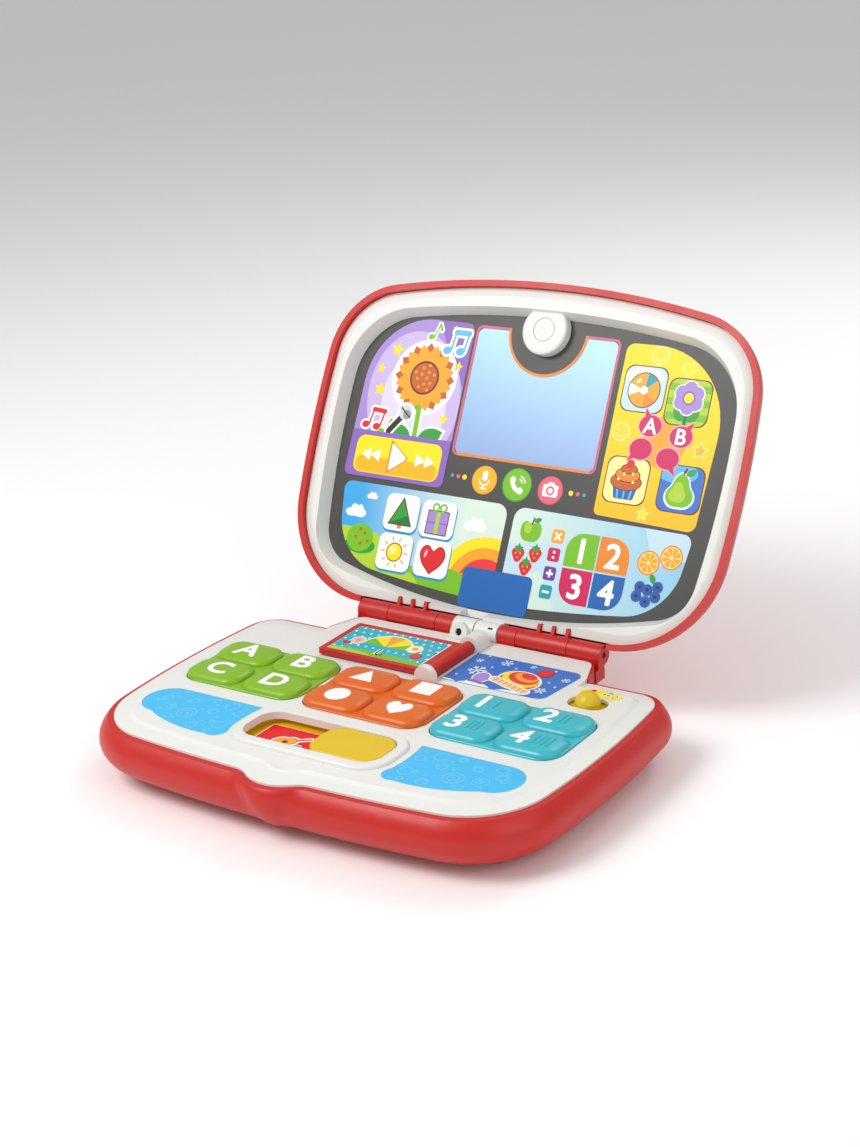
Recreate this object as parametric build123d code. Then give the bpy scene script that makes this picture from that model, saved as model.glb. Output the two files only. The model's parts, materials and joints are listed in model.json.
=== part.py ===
from build123d import *

import os
from dataclasses import dataclass
from math import cos, radians, sin

# A toddler's toy laptop with its lid open. Millimetres, +Z up, the table is z = 0.
# While it is modelled, y = 0 is the middle of the key deck and -Y is the front.
# The finished set is then moved along Y so that the origin is the middle of the
# whole open toy, on the table.

# ---- base: outline, heights and walls -------------------------------------------
BASE_W = 280.0            # key deck from rim to rim; the bowl below is wider
BASE_D = 172.0            # front rim to back rim, without the tongue and the hinge
BASE_BACK_Y = 76.0        # back rim behind the deck's middle
BASE_FRONT_R = 46.0       # round front corners
BASE_BACK_R = 17.5
BASE_FRONT_BOW = 9.0      # how far the middle of the front edge stands out
BASE_SIDE_BOW = 6.5       # the same for a side, against its front corner
BASE_BACK_TAPER = 5.0     # back corners inside the widest line
DECK_Z = 36.0             # key deck above the table
FOOT_H = 1.5              # how far the feet stand out
WALL = 2.2                # wall of every moulded case part
RIM_W = 3.5               # red rim that shows outside the white cover
RIM_DROP = 3.6            # rim below the deck
LEDGE_W = 2.2             # ledge inside the rim that the cover rests on
LEDGE_H = 3.0
BOWL_INSET = 21.0         # how far the floor is inside the rim
BOWL_BACK_INSET = 7.0     # the same at the back, which is steeper
BULGE_OUT = 8.0           # front bulge, where a finger lifts the lid
BULGE_DEPTH = 17.0        # centre of the bulge's circle behind the front edge
BULGE_BLEND = 16.0
BULGE_KEEP = 0.25         # share of the bulge that is left at the floor
BULGE_FADE = 1.3          # how fast it fades below the rim
BOWL_BELLY_DEG = 35.0     # part of the side's ellipse above its widest line
LID_BELLY_DEG = 0.0
BOWL_TURN = 84.0          # part of the ellipse below it
BOWL_STEPS = 6
RIDGE_INSET = 7.5        # soft ridge round the deck, inside the cover's edge
RIDGE_DROP = 1.3
EDGE_DROP = 2.2           # cover's outer edge below the deck
DIMPLE_R = 20.0           # ball that hollows the finger dimple behind the bulge
DIMPLE_DEEP = 1.4
DIMPLE_Y = 14.0           # dimple behind the front edge

# ---- hinge -----------------------------------------------------------------------
HINGE_Y = 99.0
HINGE_UP = 2.5            # axis above the deck
BARREL_R = 5.8
CENTRE_R = 6.3            # white centre post and knuckle
PIN_R = 1.75
PIN_FIT = 0.06            # running clearance of the lid on its pins
HINGE_GAP = 0.4           # between neighbouring knuckles
CENTRE_HALF = 15.0        # half of the white middle
KNUCKLE_IN = 11.6         # length of a base knuckle beside the middle
KNUCKLE_LID = 32.8
KNUCKLE_OUT = 21.0
WEB_DROP = 11.0           # underside of the webs below the deck
CENTRE_BOSS_R = 5.6       # screw boss on the centre post
CENTRE_BOSS_L = 8.0
CENTRE_BOSS_TILT = 68.0
CENTRE_BOSS_FWD = 5.8     # middle of the boss before the axis
CENTRE_HOLE_R = 2.2
CENTRE_RELIEF_T = 11.4    # recess in the lid's frame that lets the boss in
CENTRE_RELIEF_N = -7.1
LID_OPEN_DEG = 118.4      # open lid above the closed one

# ---- tongue between deck and hinge ----------------------------------------------
TONGUE_ROOT_W = 86.0      # half width where it leaves the deck
TONGUE_TIP_W = 78.0
TONGUE_GAP = 0.7          # from the cover's edge to the barrels
TONGUE_DEPTH = 15.0
TONGUE_LIP = 1.5          # red rim beside the white tongue
TONGUE_CORNER = 6.0
TONGUE_EDGE_R = 7.0       # round lower back edge

# ---- lid -------------------------------------------------------------------------
LID_W = 289.0
LID_LOW_T = 3.0           # lower edge above the hinge axis
LID_HIGH_T = 202.5        # top edge above the hinge axis
LID_LOW_R = 60.0
LID_HIGH_R = 47.0
LID_LOW_TAPER = 7.5       # lower corners inside the widest line
LID_HIGH_TAPER = 4.5
LID_HIGH_BOW = 17.0       # how far the middle of the top edge stands up
LID_RIM_N = 3.0           # rim in front of the hinge plane
LID_DEPTH = 24.0          # rim to back
LID_INSET = 21.0          # back inside the rim
LID_NOTCH_T = 6.9         # lid edge above the hinge axis, over the barrels
FRAME_EDGE_N = -0.6       # white frame at its edge
FRAME_CREST_N = 0.8
FRAME_CREST_INSET = 5.5
FRAME_GAP = 0.2           # white frame inside the red rim
FRAME_FLARE = 3.2         # how much its opening widens towards the user
PANEL_SIDE = 16.0         # card's side inside the lid's
PANEL_LOW_T = 11.0
PANEL_HIGH_T = 184.0
PANEL_LOW_R = 25.0
PANEL_HIGH_R = 42.0
PANEL_LOW_TAPER = 6.5
PANEL_HIGH_TAPER = 3.0
PANEL_LOW_BOW = 18.0
PANEL_HIGH_BOW = 13.0
PANEL_N = -7.6            # printed panel behind the hinge axis
PANEL_T = 1.2
PANEL_HIDDEN = 2.6        # panel edge behind the white frame
RIB_W = 2.0
RIB_X = (38.6, 47.8, 57.0)
RIB_TOP = 10.4
BOSS_R = 14.6
BOSS_T = 176.2
BOSS_N = -1.6             # face of the round boss at the top of the lid
BOSS_CAP_R = 6.6
LID_SCREW_X = 92.0
LID_SCREW_T = (45.0, 160.0)
MIRROR_HALF_W = 47.0
MIRROR_LO = 99.5
MIRROR_HI = 174.5
MIRROR_NOTCH_R = 26.5
MIRROR_T = 1.2
MIRROR_CORNER = 4.0
TAB_HALF_W = 23.3
TAB_LO = 12.0
TAB_HI = 35.3
TAB_T = 0.35
TAB_CORNER = 3.4

# ---- three cushion pads ----------------------------------------------------------
PAD_W = 79.0
PAD_D = 52.6
PAD_Y = 3.5
PAD_X = {"letter": -81.5, "shape": 0.0, "number": 82.5}
PAD_CORNER = 12.0
PAD_GAP = 0.5
PAD_UP = 4.5              # dome tops above the deck
PAD_VALLEY_UP = 0.8
PAD_VALLEY_W = 1.6
PAD_SKIN = 2.0
PAD_FLANGE = 0.9          # lip under the deck that holds the pad in
PAD_FLANGE_T = 1.4
PAD_ROUND = 3.0
PAD_DOME_R = 9.0          # corners of one cushion
PAD_SKIRT = 6.5           # lower edge of a pad below the deck
PLUNGER_R = 3.0
BOARD_DROP = 15.0         # top of the circuit board below the deck
BOARD_T = 1.6
DOME_H = 4.0
DOME_R = 4.5
MAT_T = 0.8

# ---- picture slider --------------------------------------------------------------
SLIDE_X0, SLIDE_X1 = -44.5, 43.5
SLIDE_Y0, SLIDE_Y1 = -67.0, -36.5
SLIDE_CORNER = 11.0
LIP_W = 6.0
LIP_UP = 2.0
THUMB_W = 44.0
THUMB_UP = 2.2
THUMB_GAP = 0.6
TRAY_DROP = 5.2
TRAY_T = 1.6
CARRIAGE_T = 1.2
CARRIAGE_LAP = 2.4        # how far the carriage reaches under the cover
LABEL_SEAM_X = 0.0        # where the two pictures of the channel meet

# ---- flip page -------------------------------------------------------------------
SPINE_X = 8.0
SPINE_R = 3.8
PAGE_X0 = -67.5
PAGE_Y0, PAGE_Y1 = 35.8, 76.0
PAGE_T = 3.0
PAGE_LIFT = 1.2           # page above the deck
PAGE_BORDER = 3.6
PAGE_PIN_R = 1.5
PAGE_GAP = 0.4            # page to ears
EAR_R = 6.2
EAR_T = 4.2
EAR_BACK_L = 11.4         # the back ear, which reaches towards the hinge

# ---- mode switch -----------------------------------------------------------------
SWITCH_X, SWITCH_Y = 102.0, 46.6
SWITCH_SLOT_W = 23.0
SWITCH_SLOT_D = 14.6
KNOB_R = 6.9
KNOB_UP = 6.6
SWITCH_TRAVEL = 3.4
KNOB_SIDE_UP = 1.2        # straight side of the knob above the deck

# ---- stickers --------------------------------------------------------------------
LABEL_T = 0.4
LABEL_POCKET = 0.5
WRIST_BACK_Y = -34.0      # straight back edge of a wrist sticker
WRIST_X0, WRIST_X1 = 52.0, 106.0
WRIST_SIDE = (120.0, -45.0)        # middle of its round outer end
WRIST_OUT_Y = -63.0                # where the outer end meets the front edge
WRIST_FRONT = (86.0, -70.5)        # middle of its front edge
WRIST_IN_FRONT = (60.0, -72.5)
WRIST_TOE = (52.0, -70.0)          # middle of its inner front corner
WRIST_HEEL = (52.5, -62.0)         # where the hollow beside the slider starts
WRIST_HOLLOW = (53.6, -48.0)
WINTER_X0, WINTER_X1 = 13.5, 78.0  # picture beside the page, along its front edge
WINTER_BACK_X = 83.0
WINTER_Y0, WINTER_Y1 = 39.2, 77.0
WINTER_CORNER = 6.0
ARCH_X, ARCH_Y = 103.5, 44.6       # centre of the arched sticker behind the switch
ARCH_R0, ARCH_R1 = 11.5, 19.5
ARCH_SPREAD = 42.0                 # degrees either side of straight back

# ---- inside ----------------------------------------------------------------------
CELL_R = 7.1
CELL_L = 50.0
CELL_PITCH = 15.2
CELL_COUNT = 3
CELL_UP = 2.2             # lowest line of the cells above the shell's underside
BAY_SPARE = 4.5           # room at each end for the contacts
BAY_WALL = 1.1
BAY_LUG = 9.0             # lug for the door's screw, beside the bay
LUG_SCREW_X = 5.0         # its screw beside the bay
DOOR_T = 2.0
DOOR_LAP = 4.0
DOOR_LUG = 6.0            # how far the door reaches over the lug
DOOR_GAP = 0.4
SPEAKER_X, SPEAKER_Y = 62.0, -43.0
SPEAKER_R = 22.0
SPEAKER_FRAME_T = 3.0
SPEAKER_CONE_UP = 8.0
SPEAKER_UP = 13.0
GRILLE_RING = 9.0
GRILLE_R = 1.5
BOSS_SCREW_XY = ((92.0, -58.0), (72.0, 56.0), (18.0, 56.0))
SCREW_R = 1.3
SCREW_HEAD_R = 2.8
POST_R = 4.2
POST_MEET_Z = 18.0        # where the posts of shell and cover meet
FEET_XY = ((102.0, -42.0), (92.0, 58.5))
FOOT_R = 8.0

RIM_Z = DECK_Z - RIM_DROP
HINGE_Z = DECK_Z + HINGE_UP
WEB_LOW_Z = DECK_Z - WEB_DROP
LID_PLACE = Location((0, HINGE_Y, HINGE_Z), (180.0 - LID_OPEN_DEG, 0, 0))


@dataclass
class Outline:
    """A plan outline, the same left and right, with bowed edges and round corners."""

    half_w: float
    lo_y: float
    lo_bow: float
    lo_taper: float
    lo_radius: float
    hi_y: float
    hi_bow: float
    hi_taper: float
    hi_radius: float

    def face(self, height, inset=0.0, hi_inset=None, bulge=0.0):
        """The outline as a face at a height, drawn in by inset, with a front bulge."""
        back = inset if hi_inset is None else hi_inset
        low_x, low_y = self.half_w - self.lo_taper - inset, self.lo_y + self.lo_bow + inset
        high_x, high_y = self.half_w - self.hi_taper - inset, self.hi_y - self.hi_bow - back
        middle = (low_y + high_y) / 2
        low_l, low_r = (-low_x, low_y), (low_x, low_y)
        high_l, high_r = (-high_x, high_y), (high_x, high_y)
        half = self.half_w - inset
        edges = [
            bowed(low_l, (0, self.lo_y + inset), low_r),
            bowed(low_r, (half, middle), high_r),
            bowed(high_r, (0, self.hi_y - back), high_l),
            bowed(high_l, (-half, middle), low_l),
        ]
        flat = make_face(edges)
        low_round = max(self.lo_radius - inset, 6.0)
        high_round = max(self.hi_radius - back, 6.0)
        lows = flat.vertices().sort_by(Axis.Y)[:2]
        flat = fillet(lows, low_round)
        highs = [v for v in flat.vertices() if abs(v.Y - high_y) < 0.01 and abs(abs(v.X) - high_x) < 0.01]
        flat = fillet(highs, high_round)
        if bulge:
            centre_y = self.lo_y + inset + BULGE_DEPTH
            flat += Pos(0, centre_y) * Circle(BULGE_DEPTH + bulge)
            flat = fillet(front_crossings(flat, self.lo_y + inset), BULGE_BLEND)
        return Pos(0, 0, height) * flat


def bowed(start, middle, end):
    """An arc through three points, or a line where they are level."""
    if abs(middle[1] - start[1]) < 0.01 and abs(middle[1] - end[1]) < 0.01:
        return Line(start, end)
    return ThreePointArc(start, middle, end)


def front_crossings(flat, front_y):
    """The two corners where the bulge's circle leaves the front edge."""
    near = [v for v in flat.vertices() if abs(v.Y - front_y) < 2.0 and 2.0 < abs(v.X) < 2.2 * BULGE_DEPTH]
    return near


BASE = Outline(BASE_W / 2, BASE_BACK_Y - BASE_D, BASE_FRONT_BOW, BASE_SIDE_BOW, BASE_FRONT_R,
               BASE_BACK_Y, 0.0, BASE_BACK_TAPER, BASE_BACK_R)
LID = Outline(LID_W / 2, LID_LOW_T, 0.0, LID_LOW_TAPER, LID_LOW_R,
              LID_HIGH_T, LID_HIGH_BOW, LID_HIGH_TAPER, LID_HIGH_R)
PANEL = Outline(LID.half_w - PANEL_SIDE, PANEL_LOW_T, PANEL_LOW_BOW, PANEL_LOW_TAPER, PANEL_LOW_R,
                PANEL_HIGH_T, PANEL_HIGH_BOW, PANEL_HIGH_TAPER, PANEL_HIGH_R)


def solid_of(flat, depth):
    """A face pushed straight up by depth, or down where depth is negative."""
    return extrude(flat, amount=abs(depth), dir=(0, 0, 1 if depth > 0 else -1))


def rounded_plate(x0, x1, y0, y1, radius, z0, z1):
    """A plate with round corners between two heights."""
    flat = Pos((x0 + x1) / 2, (y0 + y1) / 2, z0) * RectangleRounded(x1 - x0, y1 - y0, radius)
    return solid_of(flat, z1 - z0)


def block(x0, x1, y0, y1, z0, z1):
    """A box between its two corners."""
    return Pos((x0 + x1) / 2, (y0 + y1) / 2, (z0 + z1) / 2) * Box(x1 - x0, y1 - y0, z1 - z0)


def rod_x(x0, x1, radius, y=0.0, z=0.0):
    """A round bar along X."""
    return Pos((x0 + x1) / 2, y, z) * Rot(0, 90, 0) * Cylinder(radius, x1 - x0)


def rod_y(y0, y1, radius, x=0.0, z=0.0):
    """A round bar along Y."""
    return Pos(x, (y0 + y1) / 2, z) * Rot(90, 0, 0) * Cylinder(radius, y1 - y0)


def rod_z(x, y, z0, z1, radius):
    """A round bar along Z."""
    return Pos(x, y, (z0 + z1) / 2) * Cylinder(radius, z1 - z0)


def top_edges(part, height):
    """The edges that lie in one level plane."""
    return [e for e in part.edges() if abs(e.bounding_box().min.Z - height) < 0.01
            and abs(e.bounding_box().max.Z - height) < 0.01]


# ---- base shell ------------------------------------------------------------------
def bowl(depth, inset, back_inset, grow=0.0, bulge=0.0, outline=BASE, top=RIM_Z, belly=BOWL_BELLY_DEG):
    """A bowl hung from an outline: its side follows an ellipse out to a belly and in to the floor."""
    first, last = radians(-belly), radians(BOWL_TURN)
    widest = (1 - cos(first)) / (cos(first) - cos(last))
    sections = []
    for step in range(BOWL_STEPS):
        turn = first + (last - first) * step / (BOWL_STEPS - 1)
        part_in = (1 - cos(turn)) / (cos(first) - cos(last)) - widest
        down = (sin(turn) - sin(first)) / (sin(last) - sin(first))
        keep = max(BULGE_KEEP, 1 - BULGE_FADE * down)
        sections.append(outline.face(top - depth * down, grow + inset * part_in,
                                     grow + back_inset * part_in, bulge * keep))
    return loft(sections)


def tongue_tip():
    """Where the white tongue ends, just short of the barrels."""
    return HINGE_Y - BARREL_R - TONGUE_GAP


def tongue_face(height, grow):
    """The deck's tongue that reaches back to the hinge barrels."""
    tip = tongue_tip() + min(grow, TONGUE_GAP / 2)
    root_y = BASE.hi_y - RIM_W - 12.0
    bend_y = BASE.hi_y - RIM_W
    root, end = TONGUE_ROOT_W + grow, TONGUE_TIP_W + grow
    points = [(-root, root_y), (root, root_y), (root, bend_y), (end, tip), (-end, tip), (-root, bend_y)]
    flat = make_face(Polyline(*points, close=True))
    corners = [v for v in flat.vertices() if v.Y > BASE.hi_y - RIM_W + 1]
    return Pos(0, 0, height) * fillet(corners, TONGUE_CORNER)


def knuckle_spans():
    """The stretches of the axis that each knuckle takes, on the right-hand side."""
    start = CENTRE_HALF + HINGE_GAP
    inner = (start, start + KNUCKLE_IN)
    lid = (inner[1] + HINGE_GAP, inner[1] + HINGE_GAP + KNUCKLE_LID)
    outer = (lid[1] + HINGE_GAP, lid[1] + HINGE_GAP + KNUCKLE_OUT)
    return inner, lid, outer


def mirrored(span, side):
    """A span of X on the right or on the left."""
    return span if side > 0 else (-span[1], -span[0])


def base_knuckles():
    """The four red knuckles of the base with the webs that carry them."""
    inner, _, outer = knuckle_spans()
    made = Part()
    for side in (-1, 1):
        for span in (inner, outer):
            x0, x1 = mirrored(span, side)
            made += rod_x(x0, x1, BARREL_R, HINGE_Y, HINGE_Z)
            made += block(x0, x1, tongue_tip() - 3.0, HINGE_Y, WEB_LOW_Z, RIM_Z - 0.2)
            made += block(x0, x1, tongue_tip() + 0.2, HINGE_Y, WEB_LOW_Z, HINGE_Z - 2.0)
    return made


def battery_bay():
    """Inside of the battery bay: half length, half depth, floor and roof."""
    half_l = CELL_L / 2 + BAY_SPARE
    half_d = (CELL_PITCH * (CELL_COUNT - 1)) / 2 + CELL_R + 0.6
    return half_l, half_d, FOOT_H, FOOT_H + CELL_UP + 2 * CELL_R + 0.3


def screw_places():
    """Where the six case screws stand."""
    return [(side * x, y) for x, y in BOSS_SCREW_XY for side in (-1, 1)]


def base_shell():
    """The red bowl with its tongue, knuckles, battery bay and screw posts."""
    depth = RIM_Z - FOOT_H
    shell = bowl(depth, BOWL_INSET, BOWL_BACK_INSET, bulge=BULGE_OUT)
    tongue = solid_of(tongue_face(DECK_Z - TONGUE_DEPTH, TONGUE_LIP), TONGUE_DEPTH - 0.3)
    shell += fillet(tongue.edges().group_by(Axis.Z)[0].sort_by(Axis.Y)[-1:], TONGUE_EDGE_R)
    shell -= bowl(depth - WALL - LEDGE_H, BOWL_INSET, BOWL_BACK_INSET, grow=WALL, bulge=BULGE_OUT,
                  top=RIM_Z - LEDGE_H)
    shell -= solid_of(BASE.face(RIM_Z - LEDGE_H - 1.0, RIM_W + LEDGE_W, bulge=BULGE_OUT), LEDGE_H + 20.0)
    shell -= solid_of(BASE.face(RIM_Z, RIM_W, bulge=BULGE_OUT), 20.0)
    shell -= solid_of(tongue_face(RIM_Z, 0.15), 20.0)
    shell -= block(-CENTRE_HALF - HINGE_GAP, CENTRE_HALF, tongue_tip() - 1.0, HINGE_Y, RIM_Z, HINGE_Z)
    shell -= solid_of(tongue_face(DECK_Z - TONGUE_DEPTH + WALL, -WALL), 20.0)
    shell += base_knuckles()
    half_l, half_d, floor, roof = battery_bay()
    shell += block(-half_l - BAY_WALL, half_l + BAY_WALL, -half_d - BAY_WALL, half_d + BAY_WALL,
                   floor, roof + BAY_WALL)
    shell += block(half_l, half_l + BAY_LUG, -6.0, 6.0, floor, floor + 8.0)
    for x, y in screw_places():
        shell += rod_z(x, y, FOOT_H, POST_MEET_Z, POST_R)
    shell -= block(-half_l, half_l, -half_d, half_d, floor - 1.0, roof)
    lap_l, lap_d = half_l + DOOR_LAP, half_d + DOOR_LAP
    shell -= rounded_plate(-lap_l, lap_l + DOOR_LUG, -lap_d, lap_d, 4.0, floor - 1.0, floor + DOOR_T)
    shell -= rod_z(half_l + LUG_SCREW_X, 0, floor, floor + 7.0, 1.2)
    for x, y in screw_places():
        shell -= rod_z(x, y, FOOT_H - 1.0, POST_MEET_Z - WALL, SCREW_HEAD_R + 0.3)
        shell -= rod_z(x, y, FOOT_H, POST_MEET_Z + 1.0, SCREW_R + 0.15)
    for x, y in foot_places():
        shell -= rod_z(x, y, FOOT_H - 1.0, FOOT_H + 0.6, FOOT_R + 0.2)
    for x, y in grille_places():
        shell -= rod_z(x, y, FOOT_H - 1.0, FOOT_H + WALL + 1.0, GRILLE_R)
    for side in (-1, 1):
        inner, _, outer = knuckle_spans()
        x0, x1 = mirrored((inner[0] + 1.0, outer[1] + 1.0), side)
        shell -= rod_x(x0, x1, PIN_R + 0.02, HINGE_Y, HINGE_Z)
    return shell


def grille_places():
    """Holes of the speaker grille: one in the middle and a ring of six."""
    turns = [radians(60 * i) for i in range(6)]
    ring = [(SPEAKER_X + GRILLE_RING * cos(a), SPEAKER_Y + GRILLE_RING * sin(a)) for a in turns]
    return [(SPEAKER_X, SPEAKER_Y)] + ring


def foot_places():
    """Where the four feet are."""
    return [(side * x, y) for x, y in FEET_XY for side in (-1, 1)]


# ---- white deck cover ------------------------------------------------------------
def pad_face(centre_x, grow, height):
    """Outline of a pad or of its opening."""
    flat = RectangleRounded(PAD_W + 2 * grow, PAD_D + 2 * grow, PAD_CORNER + grow)
    return Pos(centre_x, PAD_Y, height) * flat


def wrist_face(side, grow, height):
    """A wrist sticker: straight at the back, round outside, hollow beside the slider."""
    back = WRIST_BACK_Y + grow
    inner, outer = (WRIST_X0 - grow, back), (WRIST_X1, back)
    side_mid = (WRIST_SIDE[0] + grow, WRIST_SIDE[1])
    out_front = (WRIST_X1, WRIST_OUT_Y - grow)
    front_mid = (WRIST_FRONT[0], WRIST_FRONT[1] - grow)
    in_front = (WRIST_IN_FRONT[0], WRIST_IN_FRONT[1] - grow)
    toe = (WRIST_TOE[0] - grow, WRIST_TOE[1] - grow)
    heel = (WRIST_HEEL[0] - grow, WRIST_HEEL[1])
    hollow = (WRIST_HOLLOW[0] - grow, WRIST_HOLLOW[1])
    edges = [Line(inner, outer), ThreePointArc(outer, side_mid, out_front),
             ThreePointArc(out_front, front_mid, in_front), ThreePointArc(in_front, toe, heel),
             ThreePointArc(heel, hollow, inner)]
    flat = Pos(0, 0, height) * make_face(edges)
    return flat if side > 0 else mirror(flat, about=Plane.YZ)


def winter_face(grow, height):
    """The picture to the right of the flip page's spine."""
    front, back = WINTER_Y0 - grow, WINTER_Y1 + grow
    points = [(WINTER_X0 - grow, front), (WINTER_X1 + grow, front), (WINTER_BACK_X + grow, back),
              (WINTER_X0 - grow, back)]
    flat = make_face(Polyline(*points, close=True))
    return Pos(0, 0, height) * fillet(flat.vertices().sort_by(Axis.X)[2:], WINTER_CORNER)


def switch_label_face(grow, height):
    """The arched sticker behind the mode switch."""
    inner, outer, mid = ARCH_R0 - grow, ARCH_R1 + grow, radians(90)
    start, end = mid - radians(ARCH_SPREAD), mid + radians(ARCH_SPREAD)

    def at(radius, angle):
        return (radius * cos(angle), radius * sin(angle))

    edges = [ThreePointArc(at(inner, start), at(inner, mid), at(inner, end)),
             Line(at(inner, end), at(outer, end)),
             ThreePointArc(at(outer, end), at(outer, mid), at(outer, start)),
             Line(at(outer, start), at(inner, start))]
    return Pos(ARCH_X, ARCH_Y, height) * make_face(edges)


def switch_slot(grow, z0, z1):
    """The round-ended slot of the mode switch."""
    return rounded_plate(SWITCH_X - SWITCH_SLOT_W / 2 - grow, SWITCH_X + SWITCH_SLOT_W / 2 + grow,
                         SWITCH_Y - SWITCH_SLOT_D / 2 - grow, SWITCH_Y + SWITCH_SLOT_D / 2 + grow,
                         SWITCH_SLOT_D / 2 + grow - 0.05, z0, z1)


def slide_plate(grow, z0, z1):
    """The picture slider's opening, grown or shrunk."""
    return rounded_plate(SLIDE_X0 - grow, SLIDE_X1 + grow, SLIDE_Y0 - grow, SLIDE_Y1 + grow,
                         SLIDE_CORNER + grow, z0, z1)


def spine_z():
    """Height of the flip page's axis: the middle of the page's thickness."""
    return DECK_Z + PAGE_LIFT + PAGE_T / 2


def page_ear(y0, y1):
    """A round-topped ear that holds one end of the page's pin."""
    ear = rod_y(y0, y1, EAR_R, SPINE_X, spine_z())
    return ear - block(SPINE_X - 20, SPINE_X + 20, y0 - 1, y1 + 1, DECK_Z - 30, DECK_Z - WALL + 0.2)


def boss_place():
    """Middle of the centre post's screw boss, tilted up towards the user."""
    return Pos(-CENTRE_HALF / 2 - 0.5, HINGE_Y - CENTRE_BOSS_FWD, HINGE_Z) * Rot(CENTRE_BOSS_TILT, 0, 0)


def centre_post():
    """The white post at the middle of the hinge with its screw boss facing the front."""
    post = rod_x(-CENTRE_HALF, -HINGE_GAP - 0.6, CENTRE_R, HINGE_Y, HINGE_Z)
    post += block(-CENTRE_HALF, -HINGE_GAP - 0.6, HINGE_Y - 12.0, HINGE_Y, DECK_Z - RIM_DROP, HINGE_Z - 1.0)
    post += boss_place() * Cylinder(CENTRE_BOSS_R, CENTRE_BOSS_L)
    return post - block(-CENTRE_HALF - 5, CENTRE_HALF, 0, HINGE_Y + 20, 0, RIM_Z)


def deck_cover():
    """The white cover: ridge, pad openings, slider lip, page ears and centre post."""
    plateau = RIM_W + RIDGE_INSET
    lows = BASE.face(RIM_Z, RIM_W, bulge=BULGE_OUT)
    edge = BASE.face(DECK_Z - EDGE_DROP - 0.2, RIM_W, bulge=BULGE_OUT)
    ring = BASE.face(DECK_Z - RIDGE_DROP, plateau, bulge=BULGE_OUT * 0.5)
    top = BASE.face(DECK_Z, plateau + 2.2, bulge=BULGE_OUT * 0.5)
    cover = loft([lows, edge], ruled=True) + loft([edge, ring], ruled=True) + loft([ring, top], ruled=True)
    cover += solid_of(tongue_face(RIM_Z, 0.0), RIM_DROP)
    cover -= solid_of(BASE.face(RIM_Z - 1, plateau), 1 + RIM_DROP - WALL)
    cover += slide_plate(LIP_W, DECK_Z - WALL, DECK_Z + LIP_UP)
    cover = fillet(top_edges(cover, DECK_Z + LIP_UP), 1.9)
    ear_front, ear_back = PAGE_Y0 - PAGE_GAP, PAGE_Y1 + PAGE_GAP
    cover += page_ear(ear_front - EAR_T, ear_front)
    cover += page_ear(ear_back, ear_back + EAR_BACK_L)
    cover += centre_post()
    for centre_x in PAD_X.values():
        cover -= solid_of(pad_face(centre_x, PAD_GAP, DECK_Z - 10), 20)
    cover -= slide_plate(0, DECK_Z - 10, DECK_Z + 10)
    cover -= switch_slot(0, DECK_Z - 10, DECK_Z + 10)
    cover -= rod_y(ear_front, ear_back, SPINE_R + PAGE_GAP, SPINE_X, spine_z())
    cover -= rod_y(PAGE_Y0 - 3.6, PAGE_Y1 + 5.4, PAGE_PIN_R + 0.02, SPINE_X, spine_z())
    cover -= Pos(0, BASE.lo_y + DIMPLE_Y, DECK_Z + DIMPLE_R - DIMPLE_DEEP) * Sphere(DIMPLE_R)
    cover -= boss_place() * Pos(0, 0, CENTRE_BOSS_L / 2) * Cylinder(CENTRE_HOLE_R, CENTRE_BOSS_L)
    for side in (-1, 1):
        cover -= solid_of(wrist_face(side, 0.25, DECK_Z - LABEL_POCKET), 10)
    cover -= solid_of(winter_face(0.25, DECK_Z - LABEL_POCKET), 0.6)
    cover -= solid_of(switch_label_face(0.2, DECK_Z - LABEL_POCKET), 0.6)
    for x, y in screw_places():
        cover += rod_z(x, y, POST_MEET_Z, DECK_Z - WALL + 0.1, POST_R)
        cover -= rod_z(x, y, POST_MEET_Z - 1, POST_MEET_Z + 12.0, SCREW_R - 0.05)
    return cover


# ---- pads ------------------------------------------------------------------------
def dome_places(centre_x):
    """Centres of the four cushions of a pad."""
    return [(centre_x + sx * PAD_W / 4, PAD_Y + sy * PAD_D / 4) for sy in (1, -1) for sx in (-1, 1)]


def cushion_pad(centre_x):
    """A cap with four cushions, a flange that holds it in and four plungers."""
    low = DECK_Z - PAD_SKIRT
    pad = solid_of(pad_face(centre_x, 0, low), DECK_Z + PAD_VALLEY_UP - low)
    pad = fillet(top_edges(pad, DECK_Z + PAD_VALLEY_UP), 0.7)
    for x, y in dome_places(centre_x):
        half_w = PAD_W / 4 - PAD_VALLEY_W / 2 + 0.2
        half_d = PAD_D / 4 - PAD_VALLEY_W / 2 + 0.2
        dome = rounded_plate(x - half_w, x + half_w, y - half_d, y + half_d, PAD_DOME_R, DECK_Z - 1,
                             DECK_Z + PAD_UP)
        pad += fillet(top_edges(dome, DECK_Z + PAD_UP), PAD_ROUND)
    pad += solid_of(pad_face(centre_x, PAD_FLANGE, low), PAD_FLANGE_T)
    pad -= solid_of(pad_face(centre_x, -PAD_SKIN, low - 1), DECK_Z - PAD_SKIN - low + 1)
    for x, y in dome_places(centre_x):
        pad += rod_z(x, y, DECK_Z - BOARD_DROP + DOME_H, DECK_Z - PAD_SKIN + 0.5, PLUNGER_R)
    return pad


def dome_mat(centre_x):
    """The rubber sheet with four domes that pushes a pad back up."""
    board_top = DECK_Z - BOARD_DROP
    mat = solid_of(pad_face(centre_x, -4.0, board_top), MAT_T)
    for x, y in dome_places(centre_x):
        mat += Pos(x, y, board_top + DOME_H / 2) * Cone(DOME_R + 1.2, DOME_R - 0.8, DOME_H)
    return mat


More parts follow.
